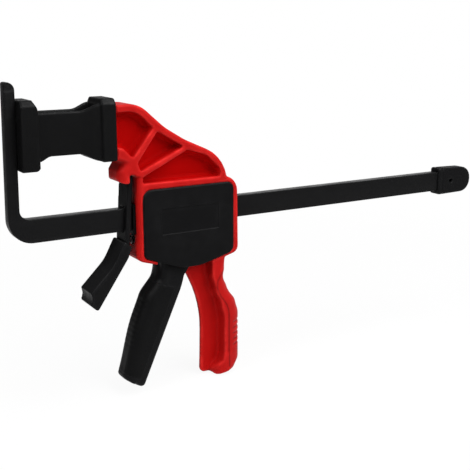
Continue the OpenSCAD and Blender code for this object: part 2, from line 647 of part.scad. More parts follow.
// The soft skin lies in a bed round the handle's front and sides, d below the surface
skin_s0 = 8;
skin_s1 = trigger_l - skin_border;
skin_stations = concat([skin_s0],
    [for (s = handle_stations) if (s > skin_s0 + 1 && s < skin_s1 - 1) s], [skin_s1]);
function skin_line(s, d) =
    let (y = trigger_w / 2 - d, r = front_r - d)
    let (front = eased(handle_front, s) + d, rear = straight(handle_rear, s) - skin_border)
    concat([[rear, -y]], corner([rear, -y], [front, -y, r], [front, y]),
        corner([front, -y], [front, y, r], [rear, y]), [[rear, y]]);
function skin_ring(s, outside) =
    let (inner = skin_line(s, skin_t), outer = skin_line(s, outside), m = len(inner))
    [for (p = concat(inner, [for (i = [m - 1 : -1 : 0]) outer[i]]))
        let (q = on_handle(s, p[0])) [q[0], p[1], q[1]]];
module skin_shell(outside) {
    rings = [for (i = [len(skin_stations) - 1 : -1 : 0]) skin_ring(skin_stations[i], outside)];
    n = len(rings[0]);
    top = (len(rings) - 1) * n;
    sides = [for (i = [0 : len(rings) - 2], j = [0 : n - 1]) let (k = (j + 1) % n)
        each [[i * n + j, (i + 1) * n + k, i * n + k], [i * n + j, (i + 1) * n + j, (i + 1) * n + k]]];
    ends = [for (i = [0 : n / 2 - 2])
        each [[i, i + 1, n - 1 - i], [i + 1, n - 2 - i, n - 1 - i],
            [top + i, top + n - 1 - i, top + i + 1], [top + i + 1, top + n - 1 - i, top + n - 2 - i]]];
    polyhedron([for (r = rings) each r], concat(sides, ends));
}

// The fork that reaches up on both sides of the bar, and its nose behind which the plates wait
neck_front = pivot_x - 7.4;
fork_outline = [[neck_front, shoulder_z - 3, 0], [nose_x - 1, shoulder_z - 3, 0],
    [nose_x + 3.4, shoulder_z - 1.8, 2], [nose_x + 6.4, shoulder_z + 1.8, 0.8],
    [nose_x + 5.2, shoulder_z + 4.4, 0.8], [nose_x - 1.7, bar_z - 16, 5],
    [nose_x - 2.7, bar_z - 9.5, 3], [nose_x, nose_z, 0.8],
    [nose_x, bar_z - 1, 0], [pivot_x + eye_r, pivot_z, 0], [pivot_x - eye_r, pivot_z, 0]];
channel_y = grip_web / 2 + 0.8;
channel_outline = [on_handle(trigger_l - 3.5, trigger_wall - 8.4), on_handle(trigger_l - 3.5, far),
    [nose_x + far, bar_z - 12.5], [neck_front + trigger_wall, bar_z - 12.5],
    [neck_front + trigger_wall, shoulder_z], on_handle(7, trigger_wall - 6.6),
    on_handle(19, trigger_wall - 10.2), on_handle(32, trigger_wall - 10.2)];

// The bar's way through the fork, wide enough for the whole swing
slot_r = pivot_z + bar_h + side_gap;
slot_outline = [[pivot_x - far, pivot_z - slot_r, 0],
    [pivot_x - slot_r * tan(trigger_swing / 2), pivot_z - slot_r, 0],
    [pivot_x + far, pivot_z - (slot_r + far * sin(trigger_swing)) / cos(trigger_swing), 0],
    [pivot_x + far, pivot_z + far, 0], [pivot_x - far, pivot_z + far, 0]];

module trigger() {
    color(black) difference() {
        union() {
            skin([for (i = [len(handle_stations) - 1 : -1 : 0]) handle_ring(handle_stations[i])]);
            plate(fork_outline, -fork_y1, fork_y1);
            pin_y(pivot_x, pivot_z, eye_r, -fork_y1, fork_y1);
        }
        skin_shell(-1);
        plate([for (p = channel_outline) [p[0], p[1], 0]], -channel_y, channel_y);
        plate(slot_outline, -fork_y0, fork_y0);
        pin_y(pivot_x, pivot_z, pivot_d / 2 + pin_gap, -far, far);
    }
}

module trigger_grip() {
    color(black) skin_shell(0);
}

// Jam plates

module drive_plate(x0) {
    y = cavity_y - side_gap;
    top = cavity_top - 3.4;
    color(steel) difference() {
        beam([[-y, drive_foot, 1.5], [y, drive_foot, 1.5], [y, top, 1.5], [-y, top, 1.5]], x0, x0 + drive_t);
        block([x0 - over, -bar_t / 2 - bar_gap, bar_z - bar_gap],
            [x0 + drive_t + over, bar_t / 2 + bar_gap, bar_gap]);
    }
}

module drive_plate_front() {
    drive_plate(drive_x);
}

module drive_plate_rear() {
    drive_plate(drive_x + drive_t);
}

// The brake plate in its tilted place, made fatter by d for the lever's socket
module brake_blank(d) {
    y = brake_w / 2 + d;
    foot = -brake_len - d;
    translate([brake_x, 0, brake_z]) rotate([0, brake_tilt, 0])
        beam([[-y, foot, 1], [y, foot, 1], [y, -0.2, 0], [-y, -0.2, 0]], -brake_t / 2 - d, brake_t / 2 + d);
}

module brake_plate() {
    color(steel) difference() {
        union() {
            brake_blank(0);
            // The round head that rocks in the notch
            pin_y(brake_x, brake_z, brake_t / 2 - 0.04, -brake_w / 2, brake_w / 2);
        }
        translate([brake_x, 0, brake_z]) rotate([0, brake_tilt, 0])
            block([-brake_t, -bar_t / 2 - bar_gap, -brake_z - bar_h - brake_hole],
                [brake_t, bar_t / 2 + bar_gap, -brake_z + brake_hole]);
    }
}

// Radius of the lever's heel, where it turns up to the plate
lever_heel_r = 8;

// The lever's side outline: s runs down it from the plate's end, n across it to the rear
function on_lever(s, n, r) = [tail_x - s * sin(lever_slope) + n * cos(lever_slope),
    tail_z - s * cos(lever_slope) - n * sin(lever_slope), r];

module release_lever() {
    outline = [on_lever(-4.2, -4.4, 1), on_lever(9, -2.9, 26), on_lever(lever_l - 5.6, -6.9, 1),
        on_lever(lever_l - 0.9, -4, 0.8), on_lever(lever_l, 0.4, 1.2), on_lever(2, 0.9, lever_heel_r),
        [tail_x + 2.3, tail_z + 3.2, 0.6]];
    color(black) difference() {
        plate(outline, -lever_w / 2, lever_w / 2);
        brake_blank(fit_gap / 2);
    }
}

clamp_bar();
end_cap();
end_cap_pin();
body_frame();
near_cover();
far_cover();
jaw_pad();
front_bar_guide();
rear_bar_guide();
trigger_pivot_pin();
drive_spring();
brake_spring();
trigger();
trigger_grip();
drive_plate_front();
drive_plate_rear();
brake_plate();
release_lever();
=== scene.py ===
# %% [markdown]
# # A guide rail clamp
# The clamp is a bent flat bar, and a moulded head that runs along it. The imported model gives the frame: each
# piece below is worked out in millimetres, lands in metres where its solid is, and rides on the solid's
# body. Nothing here moves or resizes the solids.

import math

import bpy
import numpy as np
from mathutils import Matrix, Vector


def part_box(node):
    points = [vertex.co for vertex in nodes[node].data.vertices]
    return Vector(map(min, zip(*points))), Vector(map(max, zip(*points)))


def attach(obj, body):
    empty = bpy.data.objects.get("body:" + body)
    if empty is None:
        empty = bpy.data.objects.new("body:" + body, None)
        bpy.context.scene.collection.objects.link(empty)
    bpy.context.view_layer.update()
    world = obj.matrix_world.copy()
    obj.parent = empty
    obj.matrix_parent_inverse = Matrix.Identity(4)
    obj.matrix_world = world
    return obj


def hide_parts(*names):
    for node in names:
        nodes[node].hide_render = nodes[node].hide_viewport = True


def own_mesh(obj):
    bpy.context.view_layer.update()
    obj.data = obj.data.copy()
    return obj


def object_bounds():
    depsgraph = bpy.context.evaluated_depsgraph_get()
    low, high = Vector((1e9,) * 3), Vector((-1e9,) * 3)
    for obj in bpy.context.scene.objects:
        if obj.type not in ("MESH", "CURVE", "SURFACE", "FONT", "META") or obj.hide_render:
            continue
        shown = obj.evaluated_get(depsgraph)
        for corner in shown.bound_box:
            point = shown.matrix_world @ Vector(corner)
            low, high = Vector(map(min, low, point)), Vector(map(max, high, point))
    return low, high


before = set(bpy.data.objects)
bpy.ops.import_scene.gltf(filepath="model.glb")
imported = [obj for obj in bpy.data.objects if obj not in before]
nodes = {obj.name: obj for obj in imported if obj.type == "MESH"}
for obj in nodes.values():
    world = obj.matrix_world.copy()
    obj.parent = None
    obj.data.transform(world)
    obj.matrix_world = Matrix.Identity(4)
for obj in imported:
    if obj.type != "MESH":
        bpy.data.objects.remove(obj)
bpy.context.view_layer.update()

# %% [markdown]
# ## Sizes
# These are the sizes that several pieces share, in millimetres. X = 0 is the leg's clamping face, Z = 0 the
# bar's top and Y = 0 the middle plane. An outline that only one piece has stands with that piece, and
# follows the photograph a little more closely than the solid does.

# %% Sizes that several pieces share
MM = 0.001  # metres in a millimetre
BAR_H, BAR_T = 12.5, 6.0  # height and thickness of the bar
ARM_X, CHIN_X = 51.2, 58.2  # front of the arm, rear of the chin under it
HOUSE_X, REAR_X, HOUSE_TOP = 61.2, 124.0, 13.5  # front, rear and top of the housing
HALF_W, SEAT_Y, COVER_Y, CAVITY_Y = 9.5, 8.5, 10.5, 6.8  # half widths of body, cover seats, covers and cavity
WALL = 3.2  # front and rear wall of the housing
CAVITY_X0, CAVITY_X1 = HOUSE_X + WALL, REAR_X - WALL
MOUTH_X0, MOUTH_X1 = 73.6, 107.8  # the opening below, where the trigger comes out
GRIP_X = 104.5  # where the grip leaves the housing
CAP_X = REAR_X + 161.4  # front of the end cap
PIVOT = (84.0, 4.6)  # x and z of the pin that the trigger swings on
NOTCH = (59.7, 17.2)  # x and z of the notch that the brake plate hangs in
DRIVE_COIL_Z, BRAKE_COIL_Z = -17.1, -17.85  # centre lines of the two springs
print("head from", ARM_X, "to", REAR_X, "mm, cap at", CAP_X, "mm")

# %% [markdown]
# ## Outlines
# Most pieces of the clamp are plates seen from the side, so they start as an outline with rounded corners. A
# corner is (x, z, radius). The arc in each corner is a formula, so the outline can be moved inwards by any
# amount and keeps the same number of points.

# %% Outline helpers
LEAST_R = 0.02  # radius of a corner that counts as sharp


def unit_rows(v):
    """Each row divided by its own length."""
    return v / np.linalg.norm(v, axis=-1, keepdims=True)


def inset(corners, d):
    """Corners moved inwards by d: each shifts by (na + nb) d / (1 + na.nb), na and nb the inward normals of
    its two edges, and its radius shrinks by d where the corner is convex and grows by d where it isn't."""
    c = np.array(corners, float)
    p, r = c[:, :2], c[:, 2]
    a, b = unit_rows(p - np.roll(p, 1, 0)), unit_rows(np.roll(p, -1, 0) - p)
    na, nb = np.stack([-a[:, 1], a[:, 0]], 1), np.stack([-b[:, 1], b[:, 0]], 1)
    q = p + (na + nb) * d / (1 + (na * nb).sum(1, keepdims=True))
    convex = a[:, 0] * b[:, 1] - a[:, 1] * b[:, 0] > 0
    grown = np.where(convex, np.maximum(r - d, LEAST_R), r + d)
    return np.column_stack([q, np.where(r > 0, grown, LEAST_R)])


def rounded(corners, steps=10):
    """Points of an outline with rounded corners: at each corner the arc's centre lies r / sin(half) along
    the bisector, and the arc runs from one tangent point to the other in equal angles."""
    c = np.array(corners, float)
    p, r = c[:, :2], np.maximum(c[:, 2:3], LEAST_R)
    u, v = unit_rows(np.roll(p, 1, 0) - p), unit_rows(np.roll(p, -1, 0) - p)
    half = np.arccos(np.clip((u * v).sum(1, keepdims=True), -1, 1)) / 2
    mid = p + unit_rows(u + v) * r / np.sin(half)
    start, stop = p + u * r / np.tan(half) - mid, p + v * r / np.tan(half) - mid
    first = np.arctan2(start[:, 1], start[:, 0])
    sweep = (np.arctan2(stop[:, 1], stop[:, 0]) - first + math.pi) % (2 * math.pi) - math.pi
    t = first[:, None] + sweep[:, None] * np.linspace(0, 1, steps + 1)
    ring = mid[:, None, :] + r[:, None] * np.stack([np.cos(t), np.sin(t)], -1)
    return ring.reshape(-1, 2)


def eased(knots, at):
    """A smooth curve through knots (at, value): between two of them it follows half a cosine wave."""
    k = np.array(knots, float)
    at = np.clip(at, k[0, 0], k[-1, 0])
    i = np.clip(np.searchsorted(k[:, 0], at) - 1, 0, len(k) - 2)
    t = (at - k[i, 0]) / (k[i + 1, 0] - k[i, 0])
    return k[i, 1] + (k[i + 1, 1] - k[i, 1]) * (1 - np.cos(math.pi * t)) / 2


print("a rounded square has", len(rounded([(0, 0, 1), (4, 0, 1), (4, 4, 1), (0, 4, 1)])), "points")

# %% [markdown]
# ## Making a mesh from arrays
# A surface is an array of points and an array of faces. One helper puts both into a mesh, turns millimetres
# into metres, shades it smooth, hangs it on the body it rides on and hides the solid it stands for.


# %% Edges that wear and take a painted highlight
def mark_edges(mesh, gain=9.0):
    """Attribute 'edge' of a mesh: how far each point stands out along its normal from the mean of its
    neighbours, n . (p - mean) / mean edge length, times the gain, between 0 and 1. It is high on rounded
    outer edges only. The finishes lighten these edges, partly as wear and partly as a painted highlight."""
    n = len(mesh.vertices)
    p, normal = np.empty(n * 3, np.float32), np.empty(n * 3, np.float32)
    mesh.vertices.foreach_get("co", p)
    mesh.vertices.foreach_get("normal", normal)
    p, normal = p.reshape(-1, 3), normal.reshape(-1, 3)
    pair = np.empty(len(mesh.edges) * 2, np.int32)
    mesh.edges.foreach_get("vertices", pair)
    a, b = np.concatenate([pair.reshape(-1, 2), pair.reshape(-1, 2)[:, ::-1]]).T
    count = np.bincount(a, minlength=n)[:, None]

    def around(v):
        """Mean of the neighbours' values, column by column."""
        return np.stack([np.bincount(a, v[b, k], n) for k in range(v.shape[1])], 1) / count

    length = np.linalg.norm(p[a] - p[b], axis=1).mean()
    wear_and_highlight = ((p - around(p)) * normal).sum(1, keepdims=True) / length
    wear_and_highlight = np.clip(gain * around(around(np.clip(wear_and_highlight, 0, None))), 0, 1)
    mark(mesh, "edge", wear_and_highlight)


def mark(mesh, name, values):
    """A number for each point of a mesh, which finishes can read by its name."""
    layer = mesh.attributes.new(name, "FLOAT", "POINT")
    layer.data.foreach_set("value", values.astype(np.float32).ravel())


# %% Mesh helper
def make_piece(name, points, faces, body, stands_for, slot):
    """Mesh from points in millimetres and lists of face corners, riding on a body."""
    mesh = bpy.data.meshes.new(name)
    mesh.from_pydata((np.asarray(points) * MM).tolist(), [], [list(map(int, f)) for f in faces])
    mesh.validate()
    mesh.shade_smooth()
    mark_edges(mesh)
    piece = bpy.data.objects.new(name, mesh)
    bpy.context.scene.collection.objects.link(piece)
    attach(piece, body)
    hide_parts(stands_for)
    print(name, len(mesh.vertices), "points", len(mesh.polygons), "faces")
    return piece


def grid_faces(rows, cols, wrap):
    """Quads of a rows x cols grid of points, its columns joined round where wrap is set."""
    i, j = np.meshgrid(np.arange(rows - 1), np.arange(cols if wrap else cols - 1), indexing="ij")
    k = (j + 1) % cols
    return np.stack([i * cols + j, i * cols + k, (i + 1) * cols + k, (i + 1) * cols + j], -1).reshape(-1, 4)


def sharpen(piece, degrees):
    """Keeps flat faces flat: edges that turn more than the angle stay sharp."""
    piece.data.set_sharp_from_angle(angle=math.radians(degrees))


# %% [markdown]
# ## Moulded pieces as distance fields
# Moulded plastic has no sharp edge anywhere: ribs run into walls with small fillets. Beveling a mesh with
# this many meeting edges goes wrong quickly, so the moulded pieces are written as fields instead. A field
# gives each point its distance to the surface, less than nothing inside. Fields join with a smooth minimum
# and cut with a smooth maximum, which is where the fillets come from, and a surface net draws the place
# where the field is nothing.


# %% Field helpers
def outline_field(x, z, corners):
    """Signed distance from points to an outline: the nearest edge's distance, negative where a ray along +X
    crosses the outline an odd number of times."""
    x, z = np.broadcast_arrays(x, z)
    a = rounded(corners, 6)
    b = np.roll(a, -1, 0)
    e = b - a
    px, pz = np.ravel(x)[:, None], np.ravel(z)[:, None]
    t = np.clip(((px - a[:, 0]) * e[:, 0] + (pz - a[:, 1]) * e[:, 1]) / (e**2).sum(1), 0, 1)
    near = np.sqrt(((px - a[:, 0] - t * e[:, 0]) ** 2 + (pz - a[:, 1] - t * e[:, 1]) ** 2).min(1))
    rise = np.where(e[:, 1] == 0, 1e-9, e[:, 1])
    hit = ((a[:, 1] > pz) != (b[:, 1] > pz)) & (px < a[:, 0] + (pz - a[:, 1]) / rise * e[:, 0])
    return np.where(hit.sum(1) % 2 == 1, -near, near).reshape(x.shape)


def edge_round(d, w, r):
    """Two fields meeting in an edge rounded by r: min(max(q, w), 0) + length(max(q, 0), max(w, 0)) - r."""
    q, w = d + r, w + r
    return np.minimum(np.maximum(q, w), 0) + np.hypot(np.maximum(q, 0), np.maximum(w, 0)) - r


def join(a, b, k):
    """Smooth minimum: two bodies run into each other with a fillet of about k."""
    h = np.clip(0.5 + 0.5 * (b - a) / k, 0, 1)
    return b + (a - b) * h - k * h * (1 - h)


def cut(a, b, k):
    """Body a less body b, with the edge between them rounded by about k."""
    return -join(-a, b, k)


def box_field(x, y, z, low, high):
    """Distance to a box: the length of what lies outside along each axis, or the nearest face's distance
    inside."""
    q = [np.abs(v - (p + s) / 2) - (s - p) / 2 for v, p, s in zip((x, y, z), low, high)]
    out = np.sqrt(sum(np.maximum(v, 0) ** 2 for v in q))
    return out + np.minimum(np.maximum(np.maximum(q[0], q[1]), q[2]), 0)


print("the middle of a box of 4 mm reads", float(box_field(0, 0, 0, (-2, -2, -2), (2, 2, 2))), "mm")


# %% Surface net
def surface_net(low, high, step, field):
    """Points and quads of the surface where field(x, y, z) is 0. Each grid cell that the surface crosses
    gets one point, the mean of the crossings on its twelve edges, and each crossed grid edge gets a quad of
    its four cells."""
    axes = [np.arange(p, s + step, step) for p, s in zip(low, high)]
    f = field(*np.meshgrid(*axes, indexing="ij", sparse=True)).astype(np.float32)
    n = np.array(f.shape)
    total, hits = np.zeros((*(n - 1), 3), np.float32), np.zeros(n - 1, np.float32)
    crossings = []
    for axis in range(3):
        u, v = [a for a in range(3) if a != axis]
        first = np.take(f, range(n[axis] - 1), axis)
        second = np.take(f, range(1, n[axis]), axis)
        cross = (first < 0) != (second < 0)
        t = np.where(cross, first / np.where(cross, first - second, 1), 0)
        crossings.append((cross, first < 0))
        for du in (0, 1):
            for dv in (0, 1):
                part = [slice(None)] * 3
                part[u], part[v] = slice(du, n[u] - 1 + du), slice(dv, n[v] - 1 + dv)
                c = cross[tuple(part)]
                hits += c
                total[..., axis] += t[tuple(part)]
                total[..., u] += du * c
                total[..., v] += dv * c
    active = hits > 0
    index = np.full(n - 1, -1)
    index[active] = np.arange(active.sum())
    points = np.array(low) + step * (np.argwhere(active) + total[active] / hits[active][:, None])
    quads = []
    for axis, (cross, inside) in enumerate(crossings):
        u, v = (axis + 1) % 3, (axis + 2) % 3
        at = np.argwhere(cross)
        at = at[(at[:, u] > 0) & (at[:, u] < n[u] - 1) & (at[:, v] > 0) & (at[:, v] < n[v] - 1)]
        du, dv = np.eye(3, dtype=int)[u], np.eye(3, dtype=int)[v]
        ring = [index[tuple(c.T)] for c in (at - du - dv, at - dv, at, at - du)]
        quad = np.stack(ring, 1)
        quads.append(np.where(inside[tuple(at.T)][:, None], quad, quad[:, ::-1]))
    return points, np.concatenate(quads)


def moulded(name, low, high, step, field, body, stands_for, slot):
    """A moulded piece: the surface net of its field, as a mesh that stands for its solid."""
    points, quads = surface_net(low, high, step, field)
    return make_piece(name, points, quads, body, stands_for, slot)


# %% [markdown]
# ## The red body
# Arm, housing and rear grip are one red moulding. The arm is a plate with three pockets on each side, and
# the ribs between them fan out from the chin. The rear grip is a thin web with a rounded back, like a T seen
# from above. Everything is symmetrical, so the field only looks at the distance from the middle plane.

# %% Outlines of the body
CHIN_Z, NOTCH_TOP = 14.4, 18.9
COVER_X0, COVER_X1, COVER_LOW, COVER_TOP = 65.3, 121.2, -35.9, 10.1
WEB_Y = 1.3  # half the thickness of the grip's web
arm_outline = [(51.5, CHIN_Z, 4.8), (CHIN_X, CHIN_Z, 0.8), (CHIN_X, NOTCH_TOP, 0.6),
               (HOUSE_X, NOTCH_TOP, 0.6), (HOUSE_X, 7.5, 0), (117.8, 7.5, 0), (117.8, 23.8, 22),
               (91.3, 35.7, 40), (79.4, 42.9, 40), (64.1, 56.4, 15), (ARM_X, 56.0, 1.2)]
house_outline = [(HOUSE_X, -28.7, 5), (MOUTH_X0, -32.4, 0.6), (MOUTH_X0, -28.9, 0), (87.2, -33.1, 20),
                 (MOUTH_X1, -31.7, 0), (MOUTH_X1, -35.9, 0), (125, -31.2, 4.5), (124.4, HOUSE_TOP, 9),
                 (HOUSE_X, HOUSE_TOP, 0)]
cover_outline = [(COVER_X0, -27.4, 3), (88, COVER_LOW, 22), (100, COVER_LOW, 22), (COVER_X1, -30.4, 4.5),
                 (COVER_X1, COVER_TOP, 4), (COVER_X0, COVER_TOP, 5)]
pockets = [
    [(50.4, 34.2, 0.5), (54.8, 33.4, 3), (60.2, 27.7, 1.2), (72.37, 43.24, 1), (63, 52.4, 10),
     (50.4, 52.3, 0.5)],
    [(64.4, 20.2, 1.2), (90.6, 32, 1), (74.7, 41.4, 1.2), (62.8, 25.2, 1)],
    [(65.6, HOUSE_TOP, 1), (112.8, HOUSE_TOP, 1.4), (113.4, 18.1, 4), (104.4, 26.6, 7), (92.5, 30.2, 1.5),
     (65.6, 17.2, 1)],
]
web_outline = [(103.4, -105.2, 3), (118.5, -105.2, 0), (118.5, -28.3, 0), (GRIP_X, -28.3, 0),
               (96.1, -33.1, 2), (93.6, -39.6, 2), (GRIP_X, -61.6, 70)]
foot_outline = [(108.4, -103.2, 0.6), (111, -106.3, 1.4), (119.5, -104.2, 3), (119.5, -92.5, 0),
                (115.9, -93, 3), (114.4, -97.4, 4), (110, -101.4, 1)]
print("pockets on each side:", len(pockets))

# %% The rounded back of the grip
BACK_TOP, BACK_END = 18, 92  # down from the bar's lower face, as the curves here
back_lip = [(BACK_TOP, 3.2), (30, 3.2), (40, 5.6), (50, 9.4), (58, 11.2), (BACK_END, 11.2)]
back_crown = [(BACK_TOP, 4.4), (30, 5.0), (44, 8.4), (52, 10.4), (85, 10.4), (BACK_END, 6.8)]
back_side = [(BACK_TOP, 6.5), (28, 5.5), (38, 2.5), (BACK_END, 2.5)]
PALM_TOP, PALM_STEP, PALM_COUNT, PALM_DEEP = 61.8, 3.5, 5, 0.55  # grooves across the palm


def oval(u, v, a, b):
    """Distance to half an oval, open towards u < 0, with half axes a and b. With e the length of (u / a, v /
    b) it is, to first order, (e - 1) e / |grad|."""
    u = np.maximum(u, 0)
    e = np.sqrt((u / a) ** 2 + (v / b) ** 2) + 1e-6
    return (e - 1) * e / (np.sqrt((u / a**2) ** 2 + (v / b**2) ** 2) + 1e-6)


def palm_groove(drop):
    """1 in a groove and 0 between: how near a point is to the nearest of the evenly spaced grooves."""
    k = np.clip(np.round((drop - PALM_TOP) / PALM_STEP), 0, PALM_COUNT - 1)
    return np.clip(1.25 - np.abs(drop - PALM_TOP - PALM_STEP * k) / 0.75, 0, 1)


def back_field(x, y, drop):
    """The grip's back: between lip and crease a slab of the grip's width, behind the crease half an oval,
    both sliding along X as the grip goes down. Grooves cross the palm."""
    x0 = GRIP_X + eased(back_lip, drop)
    x1 = x0 + eased(back_side, drop)
    d = oval(x - x1, y, eased(back_crown, drop), HALF_W)
    d = d + PALM_DEEP * palm_groove(drop) * np.clip((x - x1 - 3.4) / 1.2, 0, 1)
    d = edge_round(d, x0 - x, 0.9)
    return edge_round(edge_round(d, drop - BACK_END, 2.2), BACK_TOP - drop, 0.5)


print(PALM_COUNT, "palm grooves from", PALM_TOP, "mm below the bar")

# %% Arm and housing
POCKET_FLOOR, POCKET_DRAFT = 2.6, 0.05  # half the wall between pockets, slope of their sides
FLOOR_FRONT, FLOOR_REAR = -26.3, -27.2  # the housing's floor before and behind the mouth
PAST_X0, PAST_X1 = 50, 140  # well past the housing's ends
# Heights, and how far chin and housing lie behind ARM_X and HOUSE_X there
chin_back = [(21.2, 0.9), (24.7, 3.2), (26, 3.2), (31, -8)]
house_back = [(-26, 0.3), (-16, 1.4), (17.6, 1.4), (18.8, -4.5)]


def arm_field(x, ay, z):
    """The arm's plate less pockets that narrow inwards, its rounded chin leaning back under the pad."""
    arm = edge_round(outline_field(x, z, arm_outline), ay - HALF_W, 1.1)
    for corners in pockets:
        draft = outline_field(x, z, corners) + POCKET_DRAFT * (HALF_W - ay)
        arm = cut(arm, edge_round(draft, POCKET_FLOOR - ay, 2.4), 0.5)
    chin = ARM_X + np.interp(z, *zip(*chin_back))
    return np.maximum(arm, edge_round(chin - x, ay - HALF_W, 5.0))


def head_field(x, ay, z):
    """Arm and housing joined, the housing's front edge rounded beside the brake plate."""
    house = edge_round(outline_field(x, z, house_outline), ay - HALF_W, 1.3)
    head = join(arm_field(x, ay, z), house, 0.8)
    front = HOUSE_X + np.interp(z, *zip(*house_back)) - x
    return np.where(x > NOTCH[0], np.maximum(head, edge_round(front, ay - HALF_W, 3.0)), head)


def cavity_field(x, y, z):
    """The room for the mechanism: a box, less the floors in front of the mouth and behind it."""
    room = box_field(x, y, z, (CAVITY_X0, -CAVITY_Y, -37.3), (CAVITY_X1, CAVITY_Y, 9.3))
    front = box_field(x, y, z, (PAST_X0, -20, -60), (MOUTH_X0, 20, FLOOR_FRONT))
    rear = box_field(x, y, z, (MOUTH_X1, -20, -60), (PAST_X1, 20, FLOOR_REAR))
    return np.maximum(np.maximum(room, -front), -rear)


# %% The whole body
WAY_Y, WAY_Z0, WAY_Z1 = 4.85, -14.35, 1.85  # the bar's way through the housing
PIVOT_R, SPRING_R = 2.5, 3.0  # holes for the pivot pin and the brake spring


def body_field(x, y, z):
    """Head, web, foot and back joined, less cover seats, cavity, the bar's way and two round holes."""
    ay = np.abs(y)
    web = edge_round(outline_field(x, z, web_outline), ay - WEB_Y, 0.8)
    foot = edge_round(outline_field(x, z, foot_outline), oval(116 - x, y, 7.2, HALF_W), 1.0)
    back = back_field(x, y, -BAR_H - z)
    body = join(head_field(x, ay, z), join(join(web, back, 2.2), foot, 1.6), 1.0)
    seat = outline_field(x, z, inset(cover_outline, -0.1))
    body = cut(body, np.maximum(seat, SEAT_Y - ay), 0.3)
    body = cut(body, np.maximum(cavity_field(x, y, z), -(web + 0.2)), 0.5)
    way = box_field(x, y, z, (PAST_X0, -WAY_Y, WAY_Z0), (PAST_X1, WAY_Y, WAY_Z1))
    body = np.maximum(body, -way)
    pivot = np.hypot(x - PIVOT[0], z - PIVOT[1]) - PIVOT_R + 0 * y
    spring = np.maximum(np.hypot(y, z - BRAKE_COIL_Z) - SPRING_R + 0 * x, x - CAVITY_X0 - 0.2)
    return np.maximum(np.maximum(body, -pivot), -spring)


body = moulded("red_body", (49, -11, -109.1), (131, 11, 59), 0.6, body_field, "head", "body_frame",
               "red_plastic")

# %% Painted shade in recesses and along creases
# Strength of the painted shade on the grip's web and in the palm grooves
WEB_SHADE, PALM_SHADE = 0.35, 0.65
# The crease between the grip's lip and its back, darkened by painted shade
crease_line = np.array([(114.5, -42.5), (112.8, -44.3), (110.9, -47.5), (110.6, -50.9), (111.4, -53.8),
                      (113.3, -57.4), (115.6, -60.4), (117.1, -62.8), (118.1, -65.6), (118.5, -68.8),
                      (118.5, -101)])


def line_distance(x, z, line):
    """Distance of each point to an open line of straight pieces: the least over the pieces."""
    p, a, b = np.stack([x, z], -1)[:, None], line[:-1], line[1:]
    t = np.clip(((p - a) * (b - a)).sum(-1) / ((b - a) ** 2).sum(-1), 0, 1)
    return np.linalg.norm(p - a - t[..., None] * (b - a), axis=-1).min(1)


def mark_body(mesh):
    """The recess mark is painted shade: 1 deep in the arm's pockets and weaker on the grip's web. Attribute
    'line' is painted shade too: 1 along the crease between the grip's lip and its back, and weaker in the
    palm grooves."""
    p = np.empty(len(mesh.vertices) * 3, np.float32)
    mesh.vertices.foreach_get("co", p)
    x, y, z = p.reshape(-1, 3).T / MM
    ay = np.abs(y)
    pocket = np.min([outline_field(x, z, corners) for corners in pockets], 0)
    deep = np.clip((HALF_W - 0.6 - ay) / 4, 0, 1) * np.clip(0.8 - pocket, 0, 1)
    inside = np.clip(-outline_field(x, z, web_outline) / 1.5, 0, 1)
    web = WEB_SHADE * np.clip((4 - ay) / 1.5, 0, 1) * inside
    crease_shade = np.clip(1.35 - line_distance(x, z, crease_line) / 0.5, 0, 1) * np.clip(ay - 6, 0, 1)
    palm = PALM_SHADE * palm_groove(-BAR_H - z) * np.clip((x - 120.6) / 1.0, 0, 1)
    for name, value in (("recess", np.maximum(deep, web)), ("line", np.maximum(crease_shade, palm))):
        mark(mesh, name, value)
        print(name, "on", int((value > 0.4).sum()), "points")


mark_body(body.data)

# %% [markdown]
# ## The covers
# A black cover closes each side of the housing. Its outline seen from its middle meets every ray once, so
# the whole cover is one grid: rays round it, and along each ray the profile of the seat, the rounded edge,
# the flat face and the shallow bare field in the middle.

# %% Cover surface
COVER_MID = (92, -9)  # x and z of the point that the rays start from
COVER_R, FIELD_DEEP = 0.9, 0.3  # rounding of a cover's edge, depth of its bare field
bare_field = [(75.4, -15.5, 0.6), (111.4, -15.5, 0.6), (111.4, -0.9, 0.6), (75.4, -0.9, 0.6)]


def ray_hits(points, centre, angles):
    """Where rays from the centre meet an outline: the outline's radius read off against its own angle."""
    v = points - centre
    a = np.unwrap(np.arctan2(v[:, 1], v[:, 0]))
    r = np.hypot(v[:, 0], v[:, 1])
    a, r = np.append(a, a[0] + 2 * math.pi), np.append(r, r[0])
    return np.interp((angles - a[0]) % (2 * math.pi) + a[0], a, r)


def dense(points, per=12):
    """An outline with points added along its edges, so that its radius reads off well."""
    t = np.arange(per) / per
    nxt = np.roll(points, -1, 0)
    return (points[:, None] + (nxt - points)[:, None] * t[None, :, None]).reshape(-1, 2)


def cover_steps(side):
    """Profile of a cover from its seat outwards: wall, rounded edge, face and bare field. The edge is the
    outline moved inwards by r (1 - cos t) at r sin t."""
    t = np.linspace(0, math.pi / 2, 7)
    face_y, floor_y = side * COVER_Y, side * (COVER_Y - FIELD_DEEP)
    wall = [(inset(cover_outline, 6), side * SEAT_Y), (cover_outline, side * SEAT_Y)]
    inwards, height = COVER_R * (1 - np.cos(t)), COVER_Y - COVER_R + COVER_R * np.sin(t)
    edge = [(inset(cover_outline, d), side * h) for d, h in zip(inwards, height)]
    face = [(inset(cover_outline, 1.4), face_y), (inset(bare_field, -0.5), face_y), (bare_field, face_y),
            (inset(bare_field, 0.35), floor_y), (inset(bare_field, 3), floor_y)]
    return wall + edge + face


